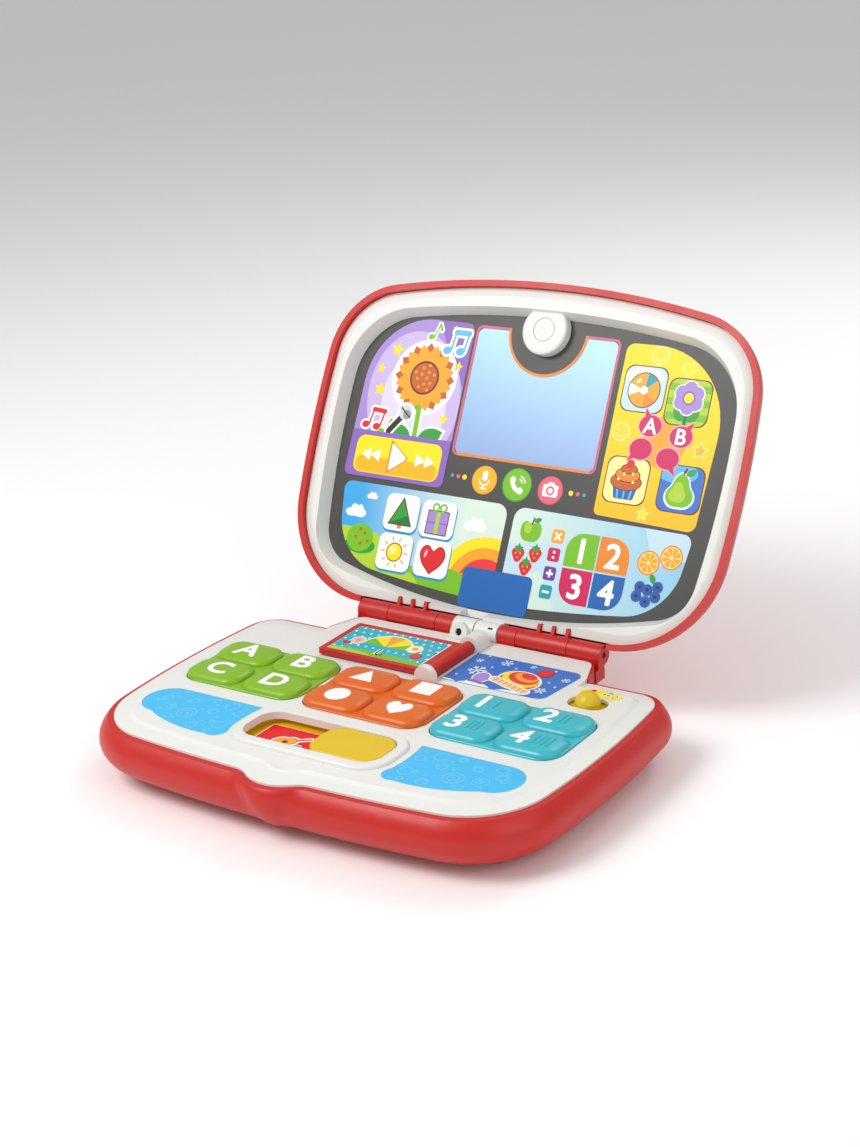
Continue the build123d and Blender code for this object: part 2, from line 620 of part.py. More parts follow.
def circuit_board():
    """The board under the three pads."""
    half = (PAD_X["number"] - PAD_X["letter"] + PAD_W) / 2 - 2.0
    top = DECK_Z - BOARD_DROP
    return rounded_plate(-half, half, PAD_Y - PAD_D / 2 + 1, PAD_Y + PAD_D / 2 - 1, 3.0, top - BOARD_T, top)


# ---- slider, page and switch -----------------------------------------------------
def slider_tray():
    """The yellow channel under the slider's opening."""
    low = DECK_Z - TRAY_DROP - TRAY_T
    tray = slide_plate(LIP_W - 1.0, low, DECK_Z - WALL)
    return tray - slide_plate(LIP_W - 2.6, low + TRAY_T, DECK_Z)


def thumb_x():
    """The two ends of the slider's thumb at rest, at the right of its opening."""
    return SLIDE_X1 - THUMB_GAP - THUMB_W, SLIDE_X1 - THUMB_GAP


def slider_thumb():
    """The yellow thumb and the thin carriage that keeps it under the cover."""
    x0, x1 = thumb_x()
    y0, y1 = SLIDE_Y0 + THUMB_GAP, SLIDE_Y1 - THUMB_GAP
    low = DECK_Z - TRAY_DROP + LABEL_T + 0.4
    thumb = rounded_plate(x0, x1, y0, y1, SLIDE_CORNER - THUMB_GAP, low, DECK_Z + THUMB_UP)
    thumb = fillet(top_edges(thumb, DECK_Z + THUMB_UP), 1.6)
    plate = rounded_plate(x0 + 4, x1 - 4, y0 - CARRIAGE_LAP, y1 + CARRIAGE_LAP, 2.0, low, low + CARRIAGE_T)
    return thumb + plate


def slider_label(right):
    """One of the two pictures on the floor of the slider's channel."""
    low = DECK_Z - TRAY_DROP
    x0, x1 = (LABEL_SEAM_X + 0.8, SLIDE_X1 - 3.0) if right else (SLIDE_X0 + 4.0, LABEL_SEAM_X)
    return rounded_plate(x0, x1, SLIDE_Y0 + 0.5, SLIDE_Y1 - 3.0, 0.5, low, low + LABEL_T)


def page_frame():
    """The red flip page: a framed plate on a spine."""
    low = DECK_Z + PAGE_LIFT
    page = rounded_plate(PAGE_X0, SPINE_X - SPINE_R + 1.0, PAGE_Y0, PAGE_Y1, 1.5, low, low + PAGE_T)
    page += rod_y(PAGE_Y0, PAGE_Y1, SPINE_R, SPINE_X, spine_z())
    x0, x1, y0, y1 = page_picture_span()
    page -= block(x0 - 0.1, x1 + 0.1, y0 - 0.1, y1 + 0.1, low + PAGE_T - LABEL_POCKET, low + PAGE_T + 1)
    page -= block(x0 - 0.1, x1 + 0.1, y0 - 0.1, y1 + 0.1, low - 1, low + LABEL_POCKET)
    return page - rod_y(PAGE_Y0 - 1, PAGE_Y1 + 1, PAGE_PIN_R + 0.05, SPINE_X, spine_z())


def page_picture_span():
    """The picture's extent on the page."""
    return (PAGE_X0 + PAGE_BORDER, SPINE_X - SPINE_R - 5.0, PAGE_Y0 + PAGE_BORDER, PAGE_Y1 - PAGE_BORDER)


def page_picture(upper):
    """The picture on one side of the page."""
    x0, x1, y0, y1 = page_picture_span()
    low = DECK_Z + PAGE_LIFT
    face = low + PAGE_T - LABEL_POCKET if upper else low + LABEL_POCKET - LABEL_T
    return block(x0, x1, y0, y1, face, face + LABEL_T)


def page_pin():
    """The steel pin that the page turns on."""
    return rod_y(PAGE_Y0 - 3.2, PAGE_Y1 + 5.0, PAGE_PIN_R, SPINE_X, spine_z())


def switch_knob():
    """The domed knob with the plate that keeps it under the cover."""
    low = DECK_Z - WALL - 2.0
    side_z = DECK_Z + KNOB_SIDE_UP
    knob = rod_z(SWITCH_X, SWITCH_Y, low, side_z, KNOB_R)
    dome_up = KNOB_UP - KNOB_SIDE_UP
    sphere_r = (KNOB_R ** 2 + dome_up ** 2) / (2 * dome_up)
    cap = Pos(SWITCH_X, SWITCH_Y, DECK_Z + KNOB_UP - sphere_r) * Sphere(sphere_r)
    knob += cap & block(SWITCH_X - 9, SWITCH_X + 9, SWITCH_Y - 9, SWITCH_Y + 9, side_z, DECK_Z + 20)
    half_w = SWITCH_SLOT_W / 2 + SWITCH_TRAVEL + 1.0
    half_d = SWITCH_SLOT_D / 2 + 1.0
    knob += rounded_plate(SWITCH_X - half_w, SWITCH_X + half_w, SWITCH_Y - half_d, SWITCH_Y + half_d, 2.0,
                          low, low + 1.4)
    return knob + rod_z(SWITCH_X, SWITCH_Y, low - 3.0, low + 0.5, 1.4)


def switch_body():
    """The slide switch under the knob, open at the top for the knob's stem."""
    top = DECK_Z - WALL - 2.4
    body = block(SWITCH_X - 10, SWITCH_X + 10, SWITCH_Y - 5, SWITCH_Y + 5, top - 8, top)
    x0, x1 = SWITCH_X - SWITCH_TRAVEL - 2.0, SWITCH_X + SWITCH_TRAVEL + 2.0
    return body - block(x0, x1, SWITCH_Y - 2, SWITCH_Y + 2, top - 5, top + 1)


# ---- power and sound -------------------------------------------------------------
def cell_places():
    """Y of each cell's axis."""
    return [(i - (CELL_COUNT - 1) / 2) * CELL_PITCH for i in range(CELL_COUNT)]


def battery_cells():
    """The cells with their pips."""
    z = FOOT_H + CELL_UP + CELL_R
    cells = []
    for index, y in enumerate(cell_places()):
        turn = 1 if index % 2 == 0 else -1
        cell = rod_x(-CELL_L / 2 + 1.2, CELL_L / 2 - 1.2, CELL_R, y, z)
        x0, x1 = sorted((turn * (CELL_L / 2 - 1.5), turn * CELL_L / 2))
        cells.append(cell + rod_x(x0, x1, 2.6, y, z))
    return Compound(cells)


def battery_contacts():
    """The plates at both ends of the bay."""
    half_l, half_d, floor, roof = battery_bay()
    plates = []
    for side in (-1, 1):
        for y in cell_places():
            x0, x1 = sorted((side * CELL_L / 2, side * half_l))
            plates.append(block(x0, x1, y - 4.5, y + 4.5, floor + DOOR_T + 2.0, roof - 2.0))
    return Compound(plates)


def battery_door():
    """The cover of the bay with its screw lug."""
    half_l, half_d, floor, _ = battery_bay()
    door = rounded_plate(-half_l - DOOR_LAP + DOOR_GAP, half_l + DOOR_LAP + DOOR_LUG - DOOR_GAP,
                         -half_d - DOOR_LAP + DOOR_GAP, half_d + DOOR_LAP - DOOR_GAP, 4.0 - DOOR_GAP,
                         floor, floor + DOOR_T)
    return door - rod_z(half_l + LUG_SCREW_X, 0, floor - 1, floor + DOOR_T + 1, 1.5)


def screw(x, y, low, length):
    """A pan-head screw standing on its head."""
    return rod_z(x, y, low, low + 1.6, SCREW_HEAD_R) + rod_z(x, y, low + 1.0, low + length, SCREW_R - 0.1)


def battery_door_screw():
    """The captive screw of the battery door."""
    half_l, _, floor, _ = battery_bay()
    head = rod_z(half_l + LUG_SCREW_X, 0, floor - 0.9, floor, SCREW_HEAD_R)
    return head + rod_z(half_l + LUG_SCREW_X, 0, floor - 0.5, floor + 6.0, 1.15)


def case_screws():
    """The six screws that close the base."""
    return Compound([screw(x, y, POST_MEET_Z - WALL - 1.6, 12.0) for x, y in screw_places()])


def speaker_driver():
    """The loudspeaker: frame, cone housing and magnet."""
    low = FOOT_H + WALL
    return (rod_z(SPEAKER_X, SPEAKER_Y, low, low + SPEAKER_FRAME_T, SPEAKER_R)
            + rod_z(SPEAKER_X, SPEAKER_Y, low + 2.5, low + SPEAKER_CONE_UP, SPEAKER_R * 0.72)
            + rod_z(SPEAKER_X, SPEAKER_Y, low + 7.5, low + SPEAKER_UP, SPEAKER_R * 0.45))


def speaker_clamp():
    """The ring that presses the loudspeaker onto the floor of the shell."""
    low = FOOT_H + WALL
    ring = rod_z(SPEAKER_X, SPEAKER_Y, low, low + SPEAKER_FRAME_T + 1.4, SPEAKER_R + 1.8)
    ring -= rod_z(SPEAKER_X, SPEAKER_Y, low - 1, low + SPEAKER_FRAME_T + 0.02, SPEAKER_R + 0.1)
    return ring - rod_z(SPEAKER_X, SPEAKER_Y, low - 1, low + 6, SPEAKER_R * 0.8)


def feet():
    """Four rubber feet."""
    return Compound([rod_z(x, y, 0, FOOT_H + 0.6, FOOT_R) for x, y in foot_places()])


def hinge_pin(side):
    """A steel pin through the three knuckles of one side."""
    inner, _, outer = knuckle_spans()
    x0, x1 = mirrored((inner[0] + 1.2, outer[1] - 2.0), side)
    return rod_x(x0, x1, PIN_R, HINGE_Y, HINGE_Z)


# ---- lid, modelled lying down: X across, Y away from the hinge, Z to the user ------
def lid_shell():
    """The red back of the lid with its knuckles, ribs and screw posts."""
    shell = bowl(LID_DEPTH, LID_INSET, LID_INSET, outline=LID, top=LID_RIM_N, belly=LID_BELLY_DEG)
    shell -= bowl(LID_DEPTH - WALL - 4.0, LID_INSET, LID_INSET, grow=WALL, outline=LID, top=LID_RIM_N - 4.0,
                  belly=LID_BELLY_DEG)
    shell -= solid_of(LID.face(PANEL_N - 0.3, RIM_W), 20.0)
    _, span, outer = knuckle_spans()
    notch = outer[1] + 1.5
    shell -= block(-notch, notch, -5, LID_NOTCH_T, -BARREL_R - 0.7, 20)
    shell -= centre_relief()
    for side in (-1, 1):
        x0, x1 = mirrored(span, side)
        shell += rod_x(x0, x1, BARREL_R)
        shell += block(x0, x1, -3.0, 6.0, -BARREL_R - 2.6, -3.0)
        for rib in RIB_X:
            shell += block(side * rib - RIB_W / 2, side * rib + RIB_W / 2, 0, RIB_TOP, PANEL_N + 1.0, 1.6)
        shell -= rod_x(x0 - 1, x1 + 1, PIN_R + PIN_FIT)
    back = LID_RIM_N - LID_DEPTH
    for x, t in lid_screw_places():
        shell += rod_z(x, t, back + 1.0, PANEL_N - PANEL_T, POST_R)
        shell -= rod_z(x, t, back - 1.0, back + 5.0, SCREW_HEAD_R + 0.3)
        shell -= rod_z(x, t, back, PANEL_N, SCREW_R + 0.15)
    return shell


def centre_relief():
    """The room that the centre post's boss takes when the lid is closed."""
    return block(-CENTRE_HALF - HINGE_GAP, 0, -5, CENTRE_RELIEF_T, CENTRE_RELIEF_N, 20)


def lid_screw_places():
    """Where the four lid screws stand."""
    return [(side * LID_SCREW_X, t) for side in (-1, 1) for t in LID_SCREW_T]


def lid_frame():
    """The white frame round the panel with the centre knuckle of the hinge."""
    lows = [LID.face(n, RIM_W + FRAME_GAP) for n in (PANEL_N, FRAME_EDGE_N)]
    crest = LID.face(FRAME_CREST_N, RIM_W + FRAME_CREST_INSET)
    frame = loft(lows, ruled=True) + loft([lows[1], crest], ruled=True)
    back, front = PANEL_N - 0.01, FRAME_CREST_N + 0.01
    frame -= loft([PANEL.face(back, 0), PANEL.face(front, -FRAME_FLARE)], ruled=True)
    hollow = LID.face(back, RIM_W + FRAME_GAP + WALL) - PANEL.face(back, -FRAME_FLARE - WALL)
    frame -= solid_of(hollow, FRAME_EDGE_N - WALL - PANEL_N)
    _, _, outer = knuckle_spans()
    notch = outer[1] + 1.5
    frame -= block(-notch, notch, -5, LID_NOTCH_T, -20, 20)
    frame -= centre_relief()
    for side in (-1, 1):
        for rib in RIB_X:
            gap = RIB_W / 2 + 0.25
            frame -= block(side * rib - gap, side * rib + gap, 0, RIB_TOP + 0.3, -20, 20)
    frame += block(0, CENTRE_HALF - 0.3, 3.0, LID_NOTCH_T + 1.0, -BARREL_R - 0.4, -0.8)
    frame += rod_x(0, CENTRE_HALF - 0.3, CENTRE_R)
    boss = rod_z(0, BOSS_T, PANEL_N, BOSS_N, BOSS_R)
    frame += fillet(top_edges(boss, BOSS_N), 1.4)
    return frame - rod_z(0, BOSS_T, BOSS_N - 1.0, BOSS_N + 1, BOSS_CAP_R + 0.4)


def lid_boss_cap():
    """The round cap set in the boss."""
    return rod_z(0, BOSS_T, BOSS_N - 1.0, BOSS_N - 0.1, BOSS_CAP_R)


def mirror_face(grow, height):
    """The mirror with the round notch under the boss."""
    flat = Pos(0, (MIRROR_LO + MIRROR_HI) / 2) * RectangleRounded(
        2 * (MIRROR_HALF_W + grow), MIRROR_HI - MIRROR_LO + 2 * grow, MIRROR_CORNER + grow)
    flat -= Pos(0, BOSS_T) * Circle(MIRROR_NOTCH_R - grow)
    return Pos(0, 0, height) * flat


def screen_panel():
    """The printed card, cut out for the mirror."""
    card = solid_of(PANEL.face(PANEL_N - PANEL_T, -PANEL_HIDDEN), PANEL_T)
    card -= block(-200, 200, -5, LID_NOTCH_T + 0.5, -20, 20)
    return card - solid_of(mirror_face(0.15, -20), 40)


def mirror_plate():
    """The acrylic mirror, a little behind the card's face."""
    return solid_of(mirror_face(0, PANEL_N - PANEL_T), MIRROR_T - 0.15)


def mirror_backing():
    """The tray that holds the mirror against the card."""
    return solid_of(mirror_face(3.0, PANEL_N - PANEL_T - 1.4), 1.4)


def lid_tab():
    """The bare blue tab under the screen."""
    return rounded_plate(-TAB_HALF_W, TAB_HALF_W, TAB_LO, TAB_HI, TAB_CORNER, PANEL_N, PANEL_N + TAB_T)


def lid_screws():
    """The four screws that hold the lid together."""
    back = LID_RIM_N - LID_DEPTH
    return Compound([screw(x, t, back + 3.4, 8.0) for x, t in lid_screw_places()])


def on_lid(part):
    """A lid part turned up to where the open lid stands."""
    return LID_PLACE * part


def build():
    """Every node by name, still with y = 0 at the middle of the deck."""
    low = DECK_Z - LABEL_POCKET
    nodes = {
        "base_shell": base_shell(),
        "deck_cover": deck_cover(),
        "circuit_board": circuit_board(),
        "slider_tray": slider_tray(),
        "slider_thumb": slider_thumb(),
        "slider_label_left": slider_label(False),
        "slider_label_right": slider_label(True),
        "page_frame": page_frame(),
        "page_picture_top": page_picture(True),
        "page_picture_under": page_picture(False),
        "page_pin": page_pin(),
        "switch_knob": switch_knob(),
        "switch_body": switch_body(),
        "switch_label": solid_of(switch_label_face(0, low), LABEL_T),
        "winter_label": solid_of(winter_face(0, low), LABEL_T),
        "wrist_label_left": solid_of(wrist_face(-1, 0, low), LABEL_T),
        "wrist_label_right": solid_of(wrist_face(1, 0, low), LABEL_T),
        "battery_cells": battery_cells(),
        "battery_contacts": battery_contacts(),
        "battery_door": battery_door(),
        "battery_door_screw": battery_door_screw(),
        "case_screws": case_screws(),
        "speaker_driver": speaker_driver(),
        "speaker_clamp": speaker_clamp(),
        "feet": feet(),
        "hinge_pin_left": hinge_pin(-1),
        "hinge_pin_right": hinge_pin(1),
        "lid_shell": on_lid(lid_shell()),
        "lid_frame": on_lid(lid_frame()),
        "lid_boss_cap": on_lid(lid_boss_cap()),
        "screen_panel": on_lid(screen_panel()),
        "mirror_plate": on_lid(mirror_plate()),
        "mirror_backing": on_lid(mirror_backing()),
        "lid_tab": on_lid(lid_tab()),
        "lid_screws": on_lid(lid_screws()),
    }
    for name, centre_x in PAD_X.items():
        nodes[name + "_pad"] = cushion_pad(centre_x)
        nodes[name + "_domes"] = dome_mat(centre_x)
    return nodes


def main():
    """Build, centre along Y and write one STEP per node."""
    nodes = build()
    boxes = [part.bounding_box() for part in nodes.values()]
    shift = -(min(box.min.Y for box in boxes) + max(box.max.Y for box in boxes)) / 2
    os.makedirs("parts", exist_ok=True)
    for name, part in nodes.items():
        moved = Pos(0, shift, 0) * part
        moved.label = name
        export_step(moved, f"parts/{name}.step")
    print("shift along Y", round(shift, 3))


if __name__ == "__main__":
    main()
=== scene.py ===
"""Looks of a toddler's toy laptop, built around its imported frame."""
import json
import logging
from dataclasses import dataclass, field
from enum import Enum
from math import cos, pi, radians, sin, sqrt
from typing import Callable, Iterable, Sequence

import bmesh
import bpy
from mathutils import Matrix, Vector


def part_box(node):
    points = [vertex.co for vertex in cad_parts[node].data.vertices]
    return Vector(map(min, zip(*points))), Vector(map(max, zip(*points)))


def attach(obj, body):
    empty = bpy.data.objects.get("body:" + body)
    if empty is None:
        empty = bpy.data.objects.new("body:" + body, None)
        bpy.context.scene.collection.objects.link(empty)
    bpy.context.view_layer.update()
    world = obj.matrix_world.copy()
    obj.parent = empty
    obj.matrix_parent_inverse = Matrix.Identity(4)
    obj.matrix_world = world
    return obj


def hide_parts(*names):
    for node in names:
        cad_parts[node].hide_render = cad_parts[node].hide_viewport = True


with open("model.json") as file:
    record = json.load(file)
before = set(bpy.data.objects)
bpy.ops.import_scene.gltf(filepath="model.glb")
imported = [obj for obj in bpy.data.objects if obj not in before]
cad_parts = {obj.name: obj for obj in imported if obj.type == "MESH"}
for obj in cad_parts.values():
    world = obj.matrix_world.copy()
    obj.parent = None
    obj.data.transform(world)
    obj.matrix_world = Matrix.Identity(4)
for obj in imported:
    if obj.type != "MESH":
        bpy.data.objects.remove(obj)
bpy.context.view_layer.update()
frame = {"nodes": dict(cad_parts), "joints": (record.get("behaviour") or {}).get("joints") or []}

log = logging.getLogger("toy_laptop")

MM = 0.001
LAYER_MM = 0.02          # one coat of ink, drawn thick enough to keep the coats apart
LIFT_MM = 0.002          # one shape over its neighbour in the same coat
LIFTS = 9
BOLD_COPIES = 8          # shifted copies that thicken a letter
LID_OPEN_DEG = 118.4     # open lid above the closed one
HINGE_BACK_MM = 99.0     # hinge axis behind the middle of the deck
HINGE_UP_MM = 2.5        # hinge axis above the deck
CARD_N_MM = -7.6         # printed card behind the hinge axis
ABS_IOR = 1.53
LAMINATE_IOR = 1.49

Point = tuple[float, float]
Legend = Callable[["InkSheet", Point], None]


def linear(hex_colour: str) -> tuple[float, float, float, float]:
    """Turn an sRGB hex colour into the linear colour that shaders take.

    Args:
        hex_colour: Six hex digits, such as "D0281C".

    Returns:
        Linear red, green and blue with an alpha of 1.
    """
    channels = [int(hex_colour[i:i + 2], 16) / 255 for i in (0, 2, 4)]
    turned = [c / 12.92 if c <= 0.04045 else ((c + 0.055) / 1.055) ** 2.4 for c in channels]
    return (*turned, 1.0)


def add_node(tree: bpy.types.NodeTree, kind: str, settings: dict | None = None,
             links: dict | None = None) -> bpy.types.Node:
    """Add a node with its settings and its incoming links.

    Args:
        tree: The material's node tree.
        kind: The node's type name.
        settings: Socket values and node properties, by name or socket number.
        links: Output sockets that feed this node's inputs, by input name or number.

    Returns:
        The new node.
    """
    node = tree.nodes.new(kind)
    for key, value in (settings or {}).items():
        if isinstance(key, str) and hasattr(node, key):
            setattr(node, key, value)
        else:
            node.inputs[key].default_value = value
    for key, source in (links or {}).items():
        tree.links.new(source, node.inputs[key])
    return node


def scale_of(size_mm: float) -> float:
    """Texture scale whose features measure size_mm."""
    return 1.0 / (size_mm * MM)


# ---- finishes ---------------------------------------------------------------------
@dataclass(frozen=True)
class Finish:
    """What a surface is made of. The name is the material's name."""

    name: str
    colour: str

    def material(self) -> bpy.types.Material:
        """The finish's material, made on first use.

        Returns:
            The material.
        """
        known = bpy.data.materials.get(self.name)
        if known:
            return known
        made = bpy.data.materials.new(self.name)
        made.use_nodes = True
        made.node_tree.nodes.clear()
        shader = self.build(made.node_tree)
        add_node(made.node_tree, "ShaderNodeOutputMaterial", links={"Surface": shader.outputs[0]})
        return made

    def build(self, tree: bpy.types.NodeTree) -> bpy.types.Node:
        """Build the shader; each kind of finish has its own."""
        raise NotImplementedError

    def mottled(self, tree: bpy.types.NodeTree, place: bpy.types.NodeSocket, size_mm: float,
                depth: float) -> bpy.types.NodeSocket:
        """The colour with a faint cloudiness.

        Args:
            tree: The material's node tree.
            place: Coordinates in metres.
            size_mm: Size of a cloud.
            depth: How much darker the dark clouds are, from 0 to 1.

        Returns:
            The colour socket.
        """
        cloud = add_node(tree, "ShaderNodeTexNoise", {"Scale": scale_of(size_mm), "Detail": 3.0},
                         {"Vector": place})
        bright = linear(self.colour)
        dark = (*(c * (1 - depth) for c in bright[:3]), 1.0)
        return add_node(tree, "ShaderNodeMix", {"data_type": "RGBA", 6: dark, 7: bright},
                        {0: cloud.outputs["Fac"]}).outputs[2]


@dataclass(frozen=True)
class MouldedAbs(Finish):
    """Injection-moulded ABS: even colour, soft gloss and a very fine mould grain."""

    roughness: float = 0.36
    grain_mm: float = 0.55
    grain_depth_mm: float = 0.006
    cloud_mm: float = 60.0
    patch_mm: float = 34.0
    glow: float = 0.0

    def build(self, tree: bpy.types.NodeTree) -> bpy.types.Node:
        """ABS with its grain as bump and uneven gloss.

        Args:
            tree: The material's node tree.

        Returns:
            The shader node.
        """
        place = add_node(tree, "ShaderNodeTexCoord").outputs["Object"]
        grain = add_node(tree, "ShaderNodeTexNoise", {"Scale": scale_of(self.grain_mm), "Detail": 2.0},
                         {"Vector": place})
        bump = add_node(tree, "ShaderNodeBump", {"Strength": 1.0, "Distance": self.grain_depth_mm * MM},
                        {"Height": grain.outputs["Fac"]})
        patches = add_node(tree, "ShaderNodeTexNoise", {"Scale": scale_of(self.patch_mm), "Detail": 2.0},
                           {"Vector": place})
        gloss = add_node(tree, "ShaderNodeMapRange",
                         {"From Min": 0.3, "From Max": 0.7, "To Min": self.roughness - 0.04,
                          "To Max": self.roughness + 0.05}, {"Value": patches.outputs["Fac"]})
        return add_node(tree, "ShaderNodeBsdfPrincipled",
                        {"IOR": ABS_IOR, "Subsurface Weight": self.glow, "Subsurface Scale": 2 * MM,
                         "Coat Weight": 0.04, "Coat Roughness": 0.15},
                        {"Base Color": self.mottled(tree, place, self.cloud_mm, 0.035),
                         "Normal": bump.outputs[0], "Roughness": gloss.outputs[0]})


@dataclass(frozen=True)
class DimpledAbs(Finish):
    """Moulded ABS with rows of fine raised dots that a fingertip can feel."""

    dot_mm: float = 1.7
    height_mm: float = 0.09

    def build(self, tree: bpy.types.NodeTree) -> bpy.types.Node:
        """ABS with the dots as bump.

        Args:
            tree: The material's node tree.

        Returns:
            The shader node.
        """
        place = add_node(tree, "ShaderNodeTexCoord").outputs["Object"]
        dots = add_node(tree, "ShaderNodeTexVoronoi",
                        {"feature": "F1", "Scale": scale_of(self.dot_mm), "Randomness": 0.0},
                        {"Vector": place})
        bump = add_node(tree, "ShaderNodeBump",
                        {"Strength": 1.0, "Distance": self.height_mm * MM, "invert": True},
                        {"Height": dots.outputs["Distance"]})
        return add_node(tree, "ShaderNodeBsdfPrincipled", {"IOR": ABS_IOR, "Roughness": 0.38},
                        {"Base Color": self.mottled(tree, place, 18.0, 0.06), "Normal": bump.outputs[0]})


@dataclass(frozen=True)
class PrintedFilm(Finish):
    """Offset print under a clear laminate: flat ink, a hair of dot gain, smooth gloss."""

    fade_to: str = ""
    fade_axis: int = 2
    fade_mm: Point = (0.0, 1.0)

    def build(self, tree: bpy.types.NodeTree) -> bpy.types.Node:
        """Ink, plain or fading along one axis, under a glossy film.

        Args:
            tree: The material's node tree.

        Returns:
            The shader node.
        """
        place = add_node(tree, "ShaderNodeTexCoord").outputs["Object"]
        ink = self.mottled(tree, place, 1.1, 0.03)
        if self.fade_to:
            split = add_node(tree, "ShaderNodeSeparateXYZ", links={0: place})
            along = add_node(tree, "ShaderNodeMapRange",
                             {"From Min": self.fade_mm[0] * MM, "From Max": self.fade_mm[1] * MM},
                             {"Value": split.outputs[self.fade_axis]})
            ink = add_node(tree, "ShaderNodeMix", {"data_type": "RGBA", 7: linear(self.fade_to)},
                           {0: along.outputs[0], 6: ink}).outputs[2]
        return add_node(tree, "ShaderNodeBsdfPrincipled",
                        {"IOR": LAMINATE_IOR, "Roughness": 0.34, "Specular IOR Level": 0.35},
                        {"Base Color": ink})


@dataclass(frozen=True)
class AcrylicMirror(Finish):
    """Back-silvered acrylic: a slightly soft reflection, with a painted pale blue reflection in its colour.
    """

    # Painted reflection: a deeper blue low on the mirror that fades to the paler colour higher up.
    fade_to: str = "8AA6D2"
    fade_mm: Point = (125.0, 190.0)

    def build(self, tree: bpy.types.NodeTree) -> bpy.types.Node:
        """A part-metallic sheet whose colour is a painted reflection.

        Args:
            tree: The material's node tree.

        Returns:
            The shader node.
        """
        place = add_node(tree, "ShaderNodeTexCoord").outputs["Object"]
        split = add_node(tree, "ShaderNodeSeparateXYZ", links={0: place})
        along = add_node(tree, "ShaderNodeMapRange",
                         {"From Min": self.fade_mm[0] * MM, "From Max": self.fade_mm[1] * MM},
                         {"Value": split.outputs[2]})
        # Painted reflection: the colour fades from the deeper blue below to the paler blue above.
        painted_reflection = add_node(tree, "ShaderNodeMix",
                        {"data_type": "RGBA", 6: linear(self.fade_to), 7: linear(self.colour)},
                        {0: along.outputs[0]})
        haze = add_node(tree, "ShaderNodeTexNoise", {"Scale": scale_of(45.0)}, {"Vector": place})
        gloss = add_node(tree, "ShaderNodeMapRange", {"To Min": 0.26, "To Max": 0.34},
                         {"Value": haze.outputs["Fac"]})
        return add_node(tree, "ShaderNodeBsdfPrincipled", {"Metallic": 0.12},
                        {"Base Color": painted_reflection.outputs[2], "Roughness": gloss.outputs[0]})


@dataclass(frozen=True)
class MouldedRubber(Finish):
    """Moulded rubber: dull, with a sandy bloom."""

    sand_mm: float = 0.4

    def build(self, tree: bpy.types.NodeTree) -> bpy.types.Node:
        """Matt rubber.

        Args:
            tree: The material's node tree.

        Returns:
            The shader node.
        """
        place = add_node(tree, "ShaderNodeTexCoord").outputs["Object"]
        sand = add_node(tree, "ShaderNodeTexNoise", {"Scale": scale_of(self.sand_mm), "Detail": 4.0},
                        {"Vector": place})
        bump = add_node(tree, "ShaderNodeBump", {"Strength": 1.0, "Distance": 0.02 * MM},
                        {"Height": sand.outputs["Fac"]})
        return add_node(tree, "ShaderNodeBsdfPrincipled", {"IOR": 1.52, "Roughness": 0.78},
                        {"Base Color": self.mottled(tree, place, 6.0, 0.15), "Normal": bump.outputs[0]})


@dataclass(frozen=True)
class MattPaper(Finish):
    """Seamless studio paper: no gloss and a barely uneven white."""

    def build(self, tree: bpy.types.NodeTree) -> bpy.types.Node:
        """Plain matt white.

        Args:
            tree: The material's node tree.

        Returns:
            The shader node.
        """
        place = add_node(tree, "ShaderNodeTexCoord").outputs["Object"]
        return add_node(tree, "ShaderNodeBsdfPrincipled", {"Roughness": 0.95, "Specular IOR Level": 0.1},
                        {"Base Color": self.mottled(tree, place, 300.0, 0.01)})


@dataclass(frozen=True)
class PlatedSteel(Finish):
    """Zinc- or nickel-plated steel with fine drawing lines."""

    def build(self, tree: bpy.types.NodeTree) -> bpy.types.Node:
        """Metal whose gloss changes in fine streaks.

        Args:
            tree: The material's node tree.

        Returns:
            The shader node.
        """
        place = add_node(tree, "ShaderNodeTexCoord").outputs["Object"]
        long = add_node(tree, "ShaderNodeMapping", {"Scale": (1.0, 12.0, 12.0)}, {"Vector": place})
        streak = add_node(tree, "ShaderNodeTexNoise", {"Scale": scale_of(8.0)}, {"Vector": long.outputs[0]})
        gloss = add_node(tree, "ShaderNodeMapRange", {"To Min": 0.22, "To Max": 0.42},
                         {"Value": streak.outputs["Fac"]})
        return add_node(tree, "ShaderNodeBsdfPrincipled", {"Metallic": 1.0},
                        {"Base Color": self.mottled(tree, place, 5.0, 0.1), "Roughness": gloss.outputs[0]})


